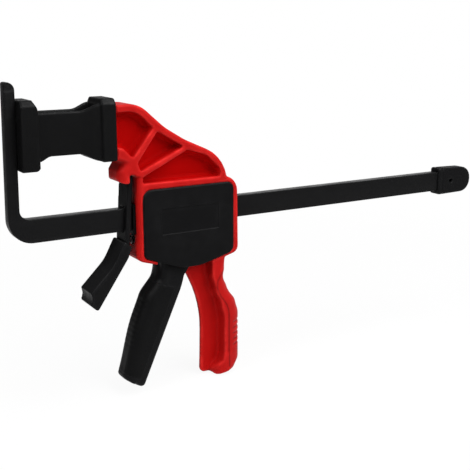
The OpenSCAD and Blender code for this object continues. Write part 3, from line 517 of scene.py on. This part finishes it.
def cover_piece(name, side, stands_for, count=480):
    """A cover as one grid: rays round its middle by the steps of its profile. The first and last rings close
    to a point. On the far side the faces are turned round, so that they look outwards too."""
    (cx, cz), steps = COVER_MID, cover_steps(side)
    t = np.linspace(0, 2 * math.pi, count, endpoint=False)
    rings = []
    for corners, y in steps:
        r = ray_hits(dense(rounded(corners, 12)), np.array(COVER_MID), t)
        rings.append(np.stack([cx + r * np.cos(t), np.full(count, y), cz + r * np.sin(t)], -1))
    ends = [(cx, y, cz) for y in (steps[0][1], steps[-1][1])]
    j = np.arange(count)
    k, end = (j + 1) % count, (len(rings) - 1) * count
    first = np.stack([k, j, np.full(count, len(rings) * count)], 1)
    last = np.stack([end + j, end + k, np.full(count, len(rings) * count + 1)], 1)
    faces = list(grid_faces(len(rings), count, True)) + list(first) + list(last)
    if side > 0:
        faces = [f[::-1] for f in faces]
    piece = make_piece(name, np.concatenate(rings + [ends]), faces, "head", stands_for, "black_plastic")
    sharpen(piece, 35)
    return piece


near_cover = cover_piece("cover_near", -1, "near_cover")
far_cover = cover_piece("cover_far", 1, "far_cover")

# %% [markdown]
# ## The bar
# The bar is a strip of steel, bent up at one end into the flat leg that goes into the rail's groove. The leg
# leans a little towards the pad and thins towards its tip. The bar is its side outline carried across its
# thickness, with the long edges rounded a little, as on drawn strip.

# %% Bar surface
LEG_TOP, BAR_END = 69.1, CAP_X + 21
bar_outline = [(0.05, 0, 5), (1.3, LEG_TOP, 4), (-4.15, LEG_TOP, 1.2), (-6.15, -BAR_H, 12.5),
               (BAR_END, -BAR_H, LEAST_R), (BAR_END, 0, LEAST_R)]


def edged_plate(corners, half, r, steps=5):
    """Points and faces of a plate from -half to half: rings of the outline moved inwards by r (1 - cos t) at
    half - r + r sin t, the profile of an edge rounded by r, closed by one flat face on each side."""
    t = np.linspace(0, math.pi / 2, steps)
    side = [(r * (1 - math.cos(v)), half - r + r * math.sin(v)) for v in t]
    profile = [(d, -y) for d, y in side[::-1]] + side
    rings = [np.insert(rounded(inset(corners, max(d, 1e-4)), 14), 1, y, axis=1) for d, y in profile]
    m = len(rings[0])
    faces = [f[::-1] for f in grid_faces(len(rings), m, True)]
    faces += [np.arange(m), np.arange(m)[::-1] + (len(rings) - 1) * m]
    return np.concatenate(rings), faces


bar = make_piece("flat_bar", *edged_plate(bar_outline, BAR_T / 2, 0.4), "bar", "clamp_bar", "blackened_steel")
sharpen(bar, 50)

# %% [markdown]
# ## The end cap
# A moulded cap keeps the head from running off the bar. It is a small plate with a half-round end and
# rounded edges, a shallow groove round its mouth and a blind dimple where its cross pin sits.

# %% Cap field
CAP_L, CAP_Y, CAP_MID_Z = 29.3, 4.3, -6.25
PIN_IN, PIN_Z, PIN_R = 11.5, -6.5, 1.75  # the dimple: way in from the cap's front, height and radius
cap_outline = [(CAP_X, -15.3, 2), (CAP_X + CAP_L, -14.9, 8.1), (CAP_X + CAP_L, 1.9, 8.1), (CAP_X, 2.7, 1.4)]


def cap_field(x, y, z):
    """Half-round plate with rounded edges, less the pin's dimple, a groove and the room for the bar."""
    ay, way_in = np.abs(y), x - CAP_X
    d = edge_round(outline_field(x, z, cap_outline), ay - CAP_Y, 1.2)
    dimple = np.hypot(way_in - PIN_IN, z - PIN_Z) - PIN_R + 0 * y
    d = cut(d, np.maximum(dimple, 3.7 - ay), 0.35)
    groove = np.abs(np.maximum(ay - CAP_Y, np.abs(z - CAP_MID_Z) - 8.4)) - 0.35
    d = cut(d, np.maximum(groove, np.abs(way_in - 3.65) - 0.45), 0.3)
    room = box_field(x, y, z, (CAP_X - 2, -3.05, -12.55), (CAP_X + 20, 3.05, 0.05))
    return np.maximum(d, -room)


cap = moulded("bar_cap", (CAP_X - 1.2, -5.5, -16), (CAP_X + 30.5, 5.5, 3.5), 0.45, cap_field, "bar",
              "end_cap", "black_plastic")

# %% [markdown]
# ## The jaw pad
# The pad is a hollow moulding: a flange that presses on the work, a waist, and a flange that sits on the
# arm. The waist's width and its two edges are smooth curves along X, and the hollow is open at the top.

# %% Pad field
PAD_W, PAD_Z0, PAD_Z1 = 10.5, 25.1, 60.3
FRONT_X0, FRONT_X1, REST_X0 = 0.5, 10.1, 43.2  # the front flange's faces, the front of the flange on the arm
BEVEL_Y, BEVEL_Z = 2.6, 2.8  # bevels of a flange's upper corners
FACE_X, FACE_LEAN = 0.75, 0.0181  # the face leans with the leg
waist_y = [(FRONT_X1, 7.5), (31.2, 7.5), (REST_X0, 9.0)]
waist_low = [(FRONT_X1, 29.3), (17.1, 31.9), (31.2, 31.9), (REST_X0, 27.7)]
waist_high = [(FRONT_X1, 53.9), (32.2, 53.9), (REST_X0, 57.1)]


def flange_field(x, y, z, x0, x1, z0, z1):
    """A flange: its bevelled outline across the pad, with a thickness along X and softened edges."""
    corners = [(-PAD_W, z0, 1.6), (PAD_W, z0, 1.6), (PAD_W, z1 - BEVEL_Z, 0.8), (PAD_W - BEVEL_Y, z1, 0.8),
               (-PAD_W + BEVEL_Y, z1, 0.8), (-PAD_W, z1 - BEVEL_Z, 0.8)]
    return edge_round(outline_field(y, z, corners), np.abs(x - (x0 + x1) / 2) - (x1 - x0) / 2, 0.8)


def pad_field(x, y, z):
    """Two flanges and the waist between them, hollowed from above. Three planes trim the front flange: its
    leaning face, and the slopes of its rear at the top and at the bottom."""
    w, z0, z1 = eased(waist_y, x), eased(waist_low, x), eased(waist_high, x)
    waist = edge_round(np.abs(y) - w, np.abs(z - (z0 + z1) / 2) - (z1 - z0) / 2, 1.0)
    waist = np.maximum(waist, np.abs(x - 26) - 18.5)
    front = flange_field(x, y, z, FRONT_X0, FRONT_X1, PAD_Z0, PAD_Z1)
    face = FACE_X + FACE_LEAN * (z - PAD_Z0) - x
    top = 0.9 * (x - FRONT_X1) + 0.43 * (z - 55.7)
    bottom = 0.7 * (x - FRONT_X1 + PAD_Z0 - z) + 1.1
    for plane in (face, top, bottom):
        front = np.maximum(front, plane)
    rest = flange_field(x, y, z, REST_X0, ARM_X, PAD_Z0 + 2, PAD_Z1 - 0.6)
    d = join(join(front, waist, 0.9), rest, 0.6)
    hollow = edge_round(np.abs(y) - w + 2.3, z0 + 3.3 - z, 1.2)
    hollow = edge_round(hollow, np.abs(x - 27.05) - 15.45, 1.5)
    return cut(d, hollow, 0.7)


pad = moulded("press_pad", (-0.5, -11.6, 23.6), (52, 11.6, 61.8), 0.6, pad_field, "head", "jaw_pad",
              "black_rubber")

# %% [markdown]
# ## The trigger
# The black handle in front is the trigger. Down its own axis its front, rear and width are smooth curves,
# and a section across it is a box with a round front. Its fork reaches up on both sides of the bar to the
# pivot, and a channel open to the rear lets it close over the grip's web.

# %% Handle in its own axes
SLOPE = math.radians(20.7)
SHOULDER = (82.5, -38.0)  # x and z where the handle's own axes start
HANDLE_TOP, HANDLE_L = -4, 67  # along the handle, as the curves here
handle_front = [(HANDLE_TOP, -5.4), (0, -6.5), (5, -6.2), (19, -9.8), (32, -10.2), (HANDLE_L, -7.4)]
handle_half = [(-6, 6.2), (9, 8.75)]
SKIN_MID, SKIN_HALF, SKIN_REAR = 35.5, 27.5, 4.0  # the soft skin along the handle, and short of its rear
SKIN_T, BED_DEEP, LAP = 0.95, 0.9, 0.7  # the skin's thickness, its bed's depth, overlap


def handle_rear(s):
    """The handle's rear, a straight taper."""
    return 9.15 - 4.0 * s / HANDLE_L


def handle_axes(x, z):
    """The way down the handle, s, and the way across it to the rear, n."""
    dx, dz = x - SHOULDER[0], z - SHOULDER[1]
    return -dx * math.sin(SLOPE) - dz * math.cos(SLOPE), dx * math.cos(SLOPE) - dz * math.sin(SLOPE)


def handle_field(s, n, y):
    """Box section with round front corners, its size a function of s, closed by a soft end."""
    front, half = eased(handle_front, s), eased(handle_half, s)
    rear = handle_rear(s)
    mid = (front + rear) / 2
    r = np.where(n < mid, np.minimum(6.5, half - 0.6), 1.6)
    d = edge_round(np.abs(n - mid) - (rear - front) / 2, np.abs(y) - half, r)
    foot = np.where(n < mid, 1.6, 3.0)
    return edge_round(edge_round(d, s - HANDLE_L - 0.2 * n, foot), HANDLE_TOP - s, 1.2)


def bed_field(s, n, handle):
    """The bed of the soft skin: the outer layer of the handle's front and sides, a little smaller than the
    skin all round, so that no gap shows along the skin's border."""
    behind = n - handle_rear(s) + (SKIN_REAR + LAP)
    return np.maximum(np.maximum(-handle - BED_DEEP, behind), np.abs(s - SKIN_MID) - (SKIN_HALF - LAP))


print("the handle is", HANDLE_L, "mm long")

# %% Trigger
NECK_X, FORK_Y = 76.6, 6.4
EYE_R, EYE_HOLE = 4.3, 2.56  # radii of the pivot's eyes and of the hole in them
SWING = math.radians(18)  # the trigger's travel
SLOT_DOWN, SLOT_Y = 17.5, 3.4  # the bar's slot: depth below the pivot, half width
fork_outline = [(NECK_X, -41, 0), (87.3, -41, 0), (91.9, -39.9, 2), (95.5, -35.9, 0.8), (94.1, -33.4, 0.8),
                (86.6, -28.5, 5), (85.6, -22, 3), (88.3, -17.5, 0.8), (88.3, PIVOT[1], 0),
                (79.7, PIVOT[1], 0)]


def channel_field(x, y, z, s, n):
    """The hollow behind the front wall, as wide as the grip's web and a little more."""
    front = eased(handle_front, s)
    down = np.maximum(np.maximum(front + 3.2 - n, s - 63.5), z + 38)
    up = np.maximum(NECK_X + 3.0 - x, np.maximum(z + 25, -38.5 - z))
    return np.maximum(np.minimum(down, up), np.abs(y) - 3.8)


def trigger_field(x, y, z):
    """Handle, fork and pivot eyes, less the skin's bed, the channel, the bar's slot and the pivot hole. The
    slot clears the bar at both ends of the swing."""
    s, n = handle_axes(x, z)
    handle = handle_field(s, n, y)
    ay = np.abs(y)
    fork = edge_round(outline_field(x, z, fork_outline), ay - FORK_Y, 0.8)
    away = np.hypot(x - PIVOT[0], z - PIVOT[1])
    fork = np.minimum(fork, edge_round(away - EYE_R, ay - FORK_Y, 0.5))
    d = cut(join(handle, fork, 1.6), bed_field(s, n, handle), 0.1)
    d = cut(d, channel_field(x, y, z, s, n), 0.5)
    tilted = (z - PIVOT[1]) * math.cos(SWING) + (x - PIVOT[0]) * math.sin(SWING)
    slot = np.maximum(z - PIVOT[1], tilted) + SLOT_DOWN
    d = np.maximum(d, np.minimum(slot, SLOT_Y - ay))
    return np.maximum(d, -(away - EYE_HOLE))


trigger = moulded("trigger_handle", (50, -10, -107), (96, 10, 10.5), 0.6, trigger_field, "trigger", "trigger",
                  "black_plastic")

# %% Soft skin
RIB_DEEP, RIB_STEP, PROUD = 0.08, 2.9, 0.04


def skin_field(x, y, z):
    """The soft skin over its bed, a hair proud of the handle, with fine ribs where the fingers pull: a
    cosine wave down the handle that fades out at both ends and round the front."""
    s, n = handle_axes(x, z)
    handle = handle_field(s, n, y)
    front = eased(handle_front, s)
    mask = np.clip((front + 2.8 - n) / 2.2, 0, 1) * np.clip((s - 15) / 4, 0, 1) * np.clip((52 - s) / 6, 0, 1)
    ribs = RIB_DEEP * mask * (0.5 + 0.5 * np.cos(2 * math.pi * s / RIB_STEP))
    d = cut(handle + ribs - PROUD, handle + SKIN_T, 0.1)
    behind = n - handle_rear(s) + SKIN_REAR
    return edge_round(d, np.maximum(behind, np.abs(s - SKIN_MID) - SKIN_HALF), 0.1)


skin = moulded("trigger_skin", (50, -10, -103), (90, 10, -42), 0.45, skin_field, "trigger", "trigger_grip",
               "black_rubber")

# %% [markdown]
# ## Brake plate and release lever
# The brake plate hangs in the notch under the arm and leans a little, which is how it grips the bar. The
# plastic lever on its lower end swings it upright.

# %% Brake plate
TILT = math.radians(4.5)
PLATE_L, PLATE_Y = 41.2, 6.4
TAIL = (NOTCH[0] - PLATE_L * math.sin(TILT), NOTCH[1] - PLATE_L * math.cos(TILT))  # lower end of the plate


def brake_field(x, y, z):
    """A box in the leaning plate's own axes, less the slot for the bar."""
    dx, dz = x - NOTCH[0], z - NOTCH[1]
    u, w = dx * math.cos(TILT) - dz * math.sin(TILT), dx * math.sin(TILT) + dz * math.cos(TILT)
    head = edge_round(np.abs(u) - 1.3, w - 1.26, 1.2)
    d = edge_round(np.maximum(head, -PLATE_L - w), np.abs(y) - PLATE_Y, 0.35)
    return cut(d, box_field(u, y, w, (-3, -3.15, -29.97), (3, 3.15, -16.93)), 0.25)


brake = moulded("brake_steel", (53, -7.5, -26), (63, 7.5, 20), 0.5, brake_field, "brake", "brake_plate",
                "dark_steel")

# %% Release lever
LEAN, LEVER_Y = math.radians(33.5), 8


def on_lever(s, n, r):
    """A corner of the lever's outline: s down from the plate's end, n across to the rear."""
    x = TAIL[0] - s * math.sin(LEAN) + n * math.cos(LEAN)
    return (x, TAIL[1] - s * math.cos(LEAN) - n * math.sin(LEAN), r)


lever_outline = [on_lever(-4.9, -5.3, 1.2), on_lever(9, -3.9, 26), on_lever(28.4, -8, 1),
                 on_lever(34, -4.6, 0.8), on_lever(35, 1.1, 1.2), on_lever(2, 1.6, 8),
                 (TAIL[0] + 2.6, TAIL[1] + 3.3, 0.6)]
scoop = on_lever(34.1, -11.1, 6.7)


def lever_field(x, y, z):
    """The lever's outline carried across its width, its edges rounded, its end scooped out."""
    d = edge_round(outline_field(x, z, lever_outline), np.abs(y) - LEVER_Y, 0.9)
    return cut(d, np.hypot(x - scoop[0], z - scoop[1]) - scoop[2] + 0 * y, 0.3)


lever = moulded("lever_release", (31, -9.2, -55.5), (61, 9.2, -16), 0.5, lever_field, "brake",
                "release_lever", "black_plastic")

# %% [markdown]
# ## Springs
# Both springs are round wire. A tube is a small circle carried along the coil's path: the circle's first
# axis points away from the coil's centre line, the second is square to that and to the path.

# %% Coil surface
WIRE_SIDES = 12


def coil_path(x0, x1, r, wire, turns):
    """Angle and X along a coil's wire: it starts straight along X for one wire, bends in a quarter circle
    into the turns, which are even in angle and along X, and ends the same way."""
    bend = 1.2 * wire
    q = np.linspace(0, math.pi / 2, 7)[1:]
    t = np.linspace(0, 1, turns * 32 + 1)[1:-1]
    a0, a1 = bend / r, bend / r + turns * 2 * math.pi
    turn = np.concatenate([[0, 0], bend * (1 - np.cos(q)) / r, a0 + t * turns * 2 * math.pi,
                           a1 + bend * np.cos(q[::-1]) / r, [a1 + a0, a1 + a0]])
    run = x1 - x0 - 2 * (wire + bend)
    along = np.concatenate([[x0, x0 + wire], x0 + wire + bend * np.sin(q), x0 + wire + bend + t * run,
                            x1 - wire - bend * np.sin(q[::-1]), [x1 - wire, x1]])
    return turn, along


def coil_piece(name, z, outer, wire, turns, node):
    """Wire tube: a small circle at each point of the path, square to it."""
    x0, x1 = [float(corner[0]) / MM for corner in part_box(node)]
    r = (outer - wire) / 2
    turn, along = coil_path(x0, x1, r, wire, turns)
    out = np.stack([0 * turn, np.cos(turn), np.sin(turn)], -1)
    path = np.stack([along, r * np.cos(turn), z + r * np.sin(turn)], -1)
    way = unit_rows(np.gradient(path, axis=0))
    way[[0, -1]] = (1, 0, 0)
    e1 = unit_rows(out - (out * way).sum(1, keepdims=True) * way)
    e2 = np.cross(way, e1)
    k = np.linspace(0, 2 * math.pi, WIRE_SIDES, endpoint=False)[None, :, None]
    rings = path[:, None] + wire / 2 * (np.cos(k) * e1[:, None] + np.sin(k) * e2[:, None])
    ring = np.arange(WIRE_SIDES)
    faces = list(grid_faces(len(path), WIRE_SIDES, True)) + [ring[::-1], ring + (len(path) - 1) * WIRE_SIDES]
    piece = make_piece(name, rings.reshape(-1, 3), faces, "head", node, "spring_steel")
    sharpen(piece, 60)
    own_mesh(piece)
    return piece


drive_coil = coil_piece("coil_drive", DRIVE_COIL_Z, 8.4, 1.1, 7, "drive_spring")
brake_coil = coil_piece("coil_brake", BRAKE_COIL_Z, 5.2, 0.8, 4, "brake_spring")

# %% [markdown]
# ## Finishes
# The photograph shows a semi-gloss red moulding, black mouldings with a fine grain, soft black rubber and a
# blackened bar with a satin sheen. Each finish is built from noise on object coordinates: large, weak
# patches in the colour, medium ones in the roughness, and a fine grain in the bump. Marks on the mesh say
# where its edges are lightened, partly as wear and partly as a painted highlight, and where painted shade
# deepens its tone or darkens it.


# %% Node helpers
def add(tree, kind, inputs, out, **settings):
    """A node with its settings, one of its outputs given back. What another node gives out is linked to an
    input, and any other value is set."""
    node = tree.nodes.new(kind)
    for key, value in settings.items():
        setattr(node, key, value)
    for key, value in inputs.items():
        if isinstance(value, bpy.types.NodeSocket):
            tree.links.new(value, node.inputs[key])
        else:
            node.inputs[key].default_value = value
    return node.outputs[out]


def map_range(tree, source, low, high, start=0.0, stop=1.0):
    """A value read from start to stop, given out from low to high."""
    ends = {"From Min": start, "From Max": stop, "To Min": low, "To Max": high}
    return add(tree, "ShaderNodeMapRange", {"Value": source, **ends}, "Result")


def maths(tree, kind, first, second):
    """One sum of two values, named as the node names it."""
    return add(tree, "ShaderNodeMath", {0: first, 1: second}, "Value", operation=kind)


def vector_maths(tree, kind, first, second):
    """One number from two vectors, such as their distance or their dot product."""
    return add(tree, "ShaderNodeVectorMath", {0: first, 1: second}, "Value", operation=kind)


def mix(tree, amount, first, second, data="RGBA"):
    """The first value where the amount is 0, the second where it is 1."""
    return add(tree, "ShaderNodeMix", {"Factor": amount, "A": first, "B": second}, "Result", data_type=data)


def noise(tree, at, scale, detail):
    """Noise between 0 and 1 at a vector."""
    return add(tree, "ShaderNodeTexNoise", {"Vector": at, "Scale": scale, "Detail": detail}, "Fac")


def marked(tree, name):
    """A mark on the mesh, 0 where it has none."""
    return add(tree, "ShaderNodeAttribute", {}, "Fac", attribute_name=name)


# %% Finish builder
BUMP_M = 0.0002  # height of the grain in metres
# LINE_DARK: how far the painted shade along the marked lines darkens the colour
RUBBED_GLOSS, RECESS_SHINE, LINE_DARK = 0.12, 0.15, 0.75


def scaled(colour, k):
    """A colour times k, its alpha 1."""
    return (*[c * k for c in colour], 1)


def rubbing_and_highlight(tree, coords, at, tip):
    """How far the colour goes to the lighter edge colour: marked edges, broken up by noise, which is partly
    wear and partly a painted highlight, and loose patches of wear above a tip level, if any.
    """
    broken = map_range(tree, noise(tree, at, 170, 4), 0.35, 1.0, 0.4, 0.65)
    rubbed_and_lit = maths(tree, "MULTIPLY", marked(tree, "edge"), broken)
    if tip is None:
        return rubbed_and_lit
    height = add(tree, "ShaderNodeSeparateXYZ", {"Vector": coords}, "Z")
    high = map_range(tree, height, 0.0, 1.0, tip, tip + 0.02)
    patches = map_range(tree, noise(tree, at, 420, 5), 0.0, 0.8, 0.55, 0.7)
    return maths(tree, "MAXIMUM", rubbed_and_lit, maths(tree, "MULTIPLY", high, patches))


def tint(tree, at, colour, patch):
    """The colour in slow patches, with painted shade: less green and blue in recesses, and nearly black along
    the marked lines.
    """
    slow = map_range(tree, noise(tree, at, 40, 3), 0.0, 1.0, 0.3, 0.7)
    shade = mix(tree, slow, scaled(colour, 1 - patch), scaled(colour, 1 + patch))
    # Painted shade: a deeper red in recesses, and nearly black along the marked lines
    deep = (colour[0] * 1.1, colour[1] * 0.35, colour[2] * 0.35, 1)
    shade = mix(tree, marked(tree, "recess"), shade, deep)
    return mix(tree, maths(tree, "MULTIPLY", marked(tree, "line"), LINE_DARK), shade, scaled(colour, 0.1))


def finish(name, colour, rough, grain, bump, wear_and_highlight, metallic=0.0, specular=0.1, patch=0.1, stretch=(1, 1, 1),
           tip=None):
    """Principled finish: colour varied by slow noise, darkened by painted shade in recesses and along lines,
    and lightened along the marked edges, partly as wear and partly as a painted highlight; roughness by
    middling noise and lower on those edges, bump by fine noise. Recesses shine less."""
    mat = bpy.data.materials.new(name)
    mat.use_nodes = True
    tree = mat.node_tree
    shader = tree.nodes["Principled BSDF"].inputs
    coords = add(tree, "ShaderNodeTexCoord", {}, "Object")
    at = add(tree, "ShaderNodeMapping", {"Vector": coords, "Scale": stretch}, "Vector")
    rubbed_and_lit = rubbing_and_highlight(tree, coords, at, tip)
    dull = map_range(tree, noise(tree, at, 220, 4), rough - 0.06, rough + 0.06, 0.3, 0.7)
    fine = {"Strength": bump, "Distance": BUMP_M, "Height": noise(tree, at, grain, 2)}
    shine = map_range(tree, marked(tree, "recess"), specular, RECESS_SHINE * specular)
    shade = mix(tree, rubbed_and_lit, tint(tree, at, colour, patch), (*wear_and_highlight, 1))
    dull = maths(tree, "SUBTRACT", dull, maths(tree, "MULTIPLY", rubbed_and_lit, RUBBED_GLOSS))
    shader["Metallic"].default_value = metallic
    tree.links.new(shine, shader["Specular IOR Level"])
    tree.links.new(shade, shader["Base Color"])
    tree.links.new(dull, shader["Roughness"])
    tree.links.new(add(tree, "ShaderNodeBump", fine, "Normal"), shader["Normal"])
    return mat


# %% The finishes
# Each lighter edge colour is partly wear and partly a painted highlight on bevels and rib edges
red_plastic = finish("red_moulding", (0.355, 0.005, 0.0046), 0.48, 900, 0.08, (0.56, 0.018, 0.016),
                     specular=0.05, patch=0.05)
black_plastic = finish("black_moulding", (0.0033, 0.0033, 0.0036), 0.48, 2600, 0.25, (0.0075, 0.0075, 0.0079),
                       specular=0.08)
# The cover's edge colour is set light for a painted highlight along its bevelled edge, on top of wear
black_cover = finish("black_cover_grain", (0.0032, 0.0032, 0.0035), 0.5, 3200, 0.3, (0.03, 0.03, 0.031),
                     specular=0.055)
black_rubber = finish("black_rubber", (0.003, 0.003, 0.0032), 0.5, 2000, 0.25, (0.0044, 0.0044, 0.0047),
                      specular=0.07)
black_bar = finish("blackened_bar", (0.0042, 0.0042, 0.0045), 0.4, 1500, 0.2, (0.016, 0.016, 0.0166),
                   specular=0.08, stretch=(0.35, 1, 1), tip=0.045)
dark_steel = finish("oiled_steel", (0.003, 0.003, 0.0032), 0.46, 1200, 0.25, (0.01, 0.01, 0.0105),
                    specular=0.05, stretch=(1, 1, 0.2))
bright_steel = finish("ground_steel", (0.42, 0.43, 0.45), 0.32, 1600, 0.25, (0.5, 0.5, 0.52), metallic=1.0,
                      stretch=(1, 0.2, 1))
wire_steel = finish("drawn_wire", (0.03, 0.03, 0.032), 0.4, 1800, 0.15, (0.06, 0.06, 0.062), metallic=1.0)
print("finishes:", len(bpy.data.materials))

# %% Dress every piece and every solid that still shows
piece_finish = [(red_plastic, [body]), (black_cover, [near_cover, far_cover]), (black_bar, [bar]),
                (black_plastic, [cap, trigger, lever]), (black_rubber, [pad, skin]), (dark_steel, [brake]),
                (wire_steel, [drive_coil, brake_coil])]
for mat, pieces in piece_finish:
    for piece in pieces:
        piece.data.materials.clear()
        piece.data.materials.append(mat)
solid_finish = [(bright_steel, ["end_cap_pin", "trigger_pivot_pin"]),
                (black_plastic, ["front_bar_guide", "rear_bar_guide"]),
                (dark_steel, ["drive_plate_front", "drive_plate_rear"])]
for mat, names in solid_finish:
    for name in names:
        for slot in nodes[name].material_slots:
            slot.material = mat
print("finishes on pieces:", len(piece_finish), "on solids:", len(solid_finish))

# %% [markdown]
# ## Studio
# The photograph is a cut-out on white. A pale floor lies under the lowest point and is nearly white to the
# camera, and broad lamps give the soft light. The world is white to the camera. Reflections find it white
# only behind the clamp, as the camera looks, and dim elsewhere, so that black pieces stay black. The camera
# stands 31 degrees round to the leg's side and 14 degrees up, as fitted to the photograph.

# %% Floor
FLOOR_AT, FLOOR_R, FLOOR_SIDES = (0.15, 0.02), 0.5, 96  # centre and radius in metres, corners


def seen_directly(tree):
    """1 for rays from the camera, in a reflection or through glass, 0 elsewhere."""
    path = tree.nodes.new("ShaderNodeLightPath").outputs
    glossy = maths(tree, "MAXIMUM", path["Is Camera Ray"], path["Is Glossy Ray"])
    return maths(tree, "MAXIMUM", glossy, path["Is Transmission Ray"])


level = float(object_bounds()[0][2]) - 0.0002
t = np.linspace(0, 2 * math.pi, FLOOR_SIDES, endpoint=False)
rim = np.stack([FLOOR_AT[0] + FLOOR_R * np.cos(t), FLOOR_AT[1] + FLOOR_R * np.sin(t), 0 * t + level], -1)
floor_mesh = bpy.data.meshes.new("floor")
floor_mesh.from_pydata(rim.tolist(), [], [list(range(FLOOR_SIDES))])
floor = bpy.data.objects.new("floor", floor_mesh)
bpy.context.scene.collection.objects.link(floor)
pale = bpy.data.materials.new("pale_floor")
pale.use_nodes = True
tree = pale.node_tree
board = tree.nodes["Principled BSDF"]
board.inputs["Base Color"].default_value = (0.7, 0.7, 0.7, 1)
board.inputs["Roughness"].default_value = 0.9
board.inputs["Specular IOR Level"].default_value = 0.0
white = add(tree, "ShaderNodeEmission", {"Color": (1, 1, 1, 1)}, "Emission")
position = add(tree, "ShaderNodeNewGeometry", {}, "Position")
away = vector_maths(tree, "DISTANCE", position, (*FLOOR_AT, level))
share = maths(tree, "MULTIPLY", map_range(tree, away, 0.93, 1.0, 0.1, 0.48), seen_directly(tree))
both = add(tree, "ShaderNodeMixShader", {0: share, 1: board.outputs["BSDF"], 2: white}, "Shader")
tree.links.new(both, tree.nodes["Material Output"].inputs["Surface"])
floor_mesh.materials.append(pale)
print("floor at", round(level, 4), "m")

# %% World
ROUND, UP = math.radians(30.98), math.radians(13.83)  # the camera's place round the clamp and above it
VIEW = Vector((math.sin(ROUND) * math.cos(UP), math.cos(ROUND) * math.cos(UP), -math.sin(UP)))
LOBE_IN, LOBE_OUT = math.cos(math.radians(25)), math.cos(math.radians(42))  # white inside, dim outside
world = bpy.data.worlds.new("studio")
world.use_nodes = True
bpy.context.scene.world = world
tree = world.node_tree
sky = tree.nodes["Background"]
sky.inputs["Color"].default_value = (1, 1, 1, 1)
ray = add(tree, "ShaderNodeTexCoord", {}, "Generated")
lobe = map_range(tree, vector_maths(tree, "DOT_PRODUCT", ray, VIEW), 0.0, 1.0, LOBE_OUT, LOBE_IN)
backdrop = maths(tree, "MULTIPLY", lobe, seen_directly(tree))
from_camera = add(tree, "ShaderNodeLightPath", {}, "Is Camera Ray")
dim = map_range(tree, vector_maths(tree, "DOT_PRODUCT", ray, (0.8, -0.6, 0.0)), 0.1, 0.36, -0.8, 0.8)
strength = mix(tree, maths(tree, "MAXIMUM", backdrop, from_camera), dim, 1.0, "FLOAT")
tree.links.new(strength, sky.inputs["Strength"])
print("the camera looks along", [round(v, 3) for v in VIEW])


# %% Lamps
def lamp(name, place, target, size, watts):
    """A broad square lamp at a place, aimed at a target, both in metres."""
    light = bpy.data.lights.new(name, "AREA")
    light.size, light.energy = size, watts
    obj = bpy.data.objects.new(name, light)
    obj.location = place
    obj.rotation_euler = (Vector(target) - Vector(place)).to_track_quat("-Z", "Y").to_euler()
    bpy.context.scene.collection.objects.link(obj)


lamp("key", (0.27, -0.55, 0.5), (0.09, 0, 0.0), 0.5, 4.5)
lamp("top", (0.34, -0.2, 0.7), (0.03, 0, 0.04), 0.36, 4.8)
lamp("left", (-0.5, -0.2, 0.5), (0.07, 0, -0.04), 0.25, 3.4)
lamp("back", (-0.1, 0.8, 0.6), (0.09, 0, -0.02), 0.6, 0.3)
print("lamps:", len(bpy.data.lights))

# %% Camera
FOCAL_PX, PHOTO_PX, SENSOR_MM = 849, 470, 36
cam = bpy.data.cameras.new("camera")
cam.lens, cam.sensor_width = FOCAL_PX * SENSOR_MM / PHOTO_PX, SENSOR_MM
camera = bpy.data.objects.new("camera", cam)
camera.location = (-0.1219, -0.4165, 0.0955)
camera.rotation_euler = VIEW.to_track_quat("-Z", "Y").to_euler()
bpy.context.scene.collection.objects.link(camera)
bpy.context.scene.camera = camera
bpy.context.scene.view_settings.view_transform = "Standard"
print("camera lens", round(cam.lens, 2), "mm")
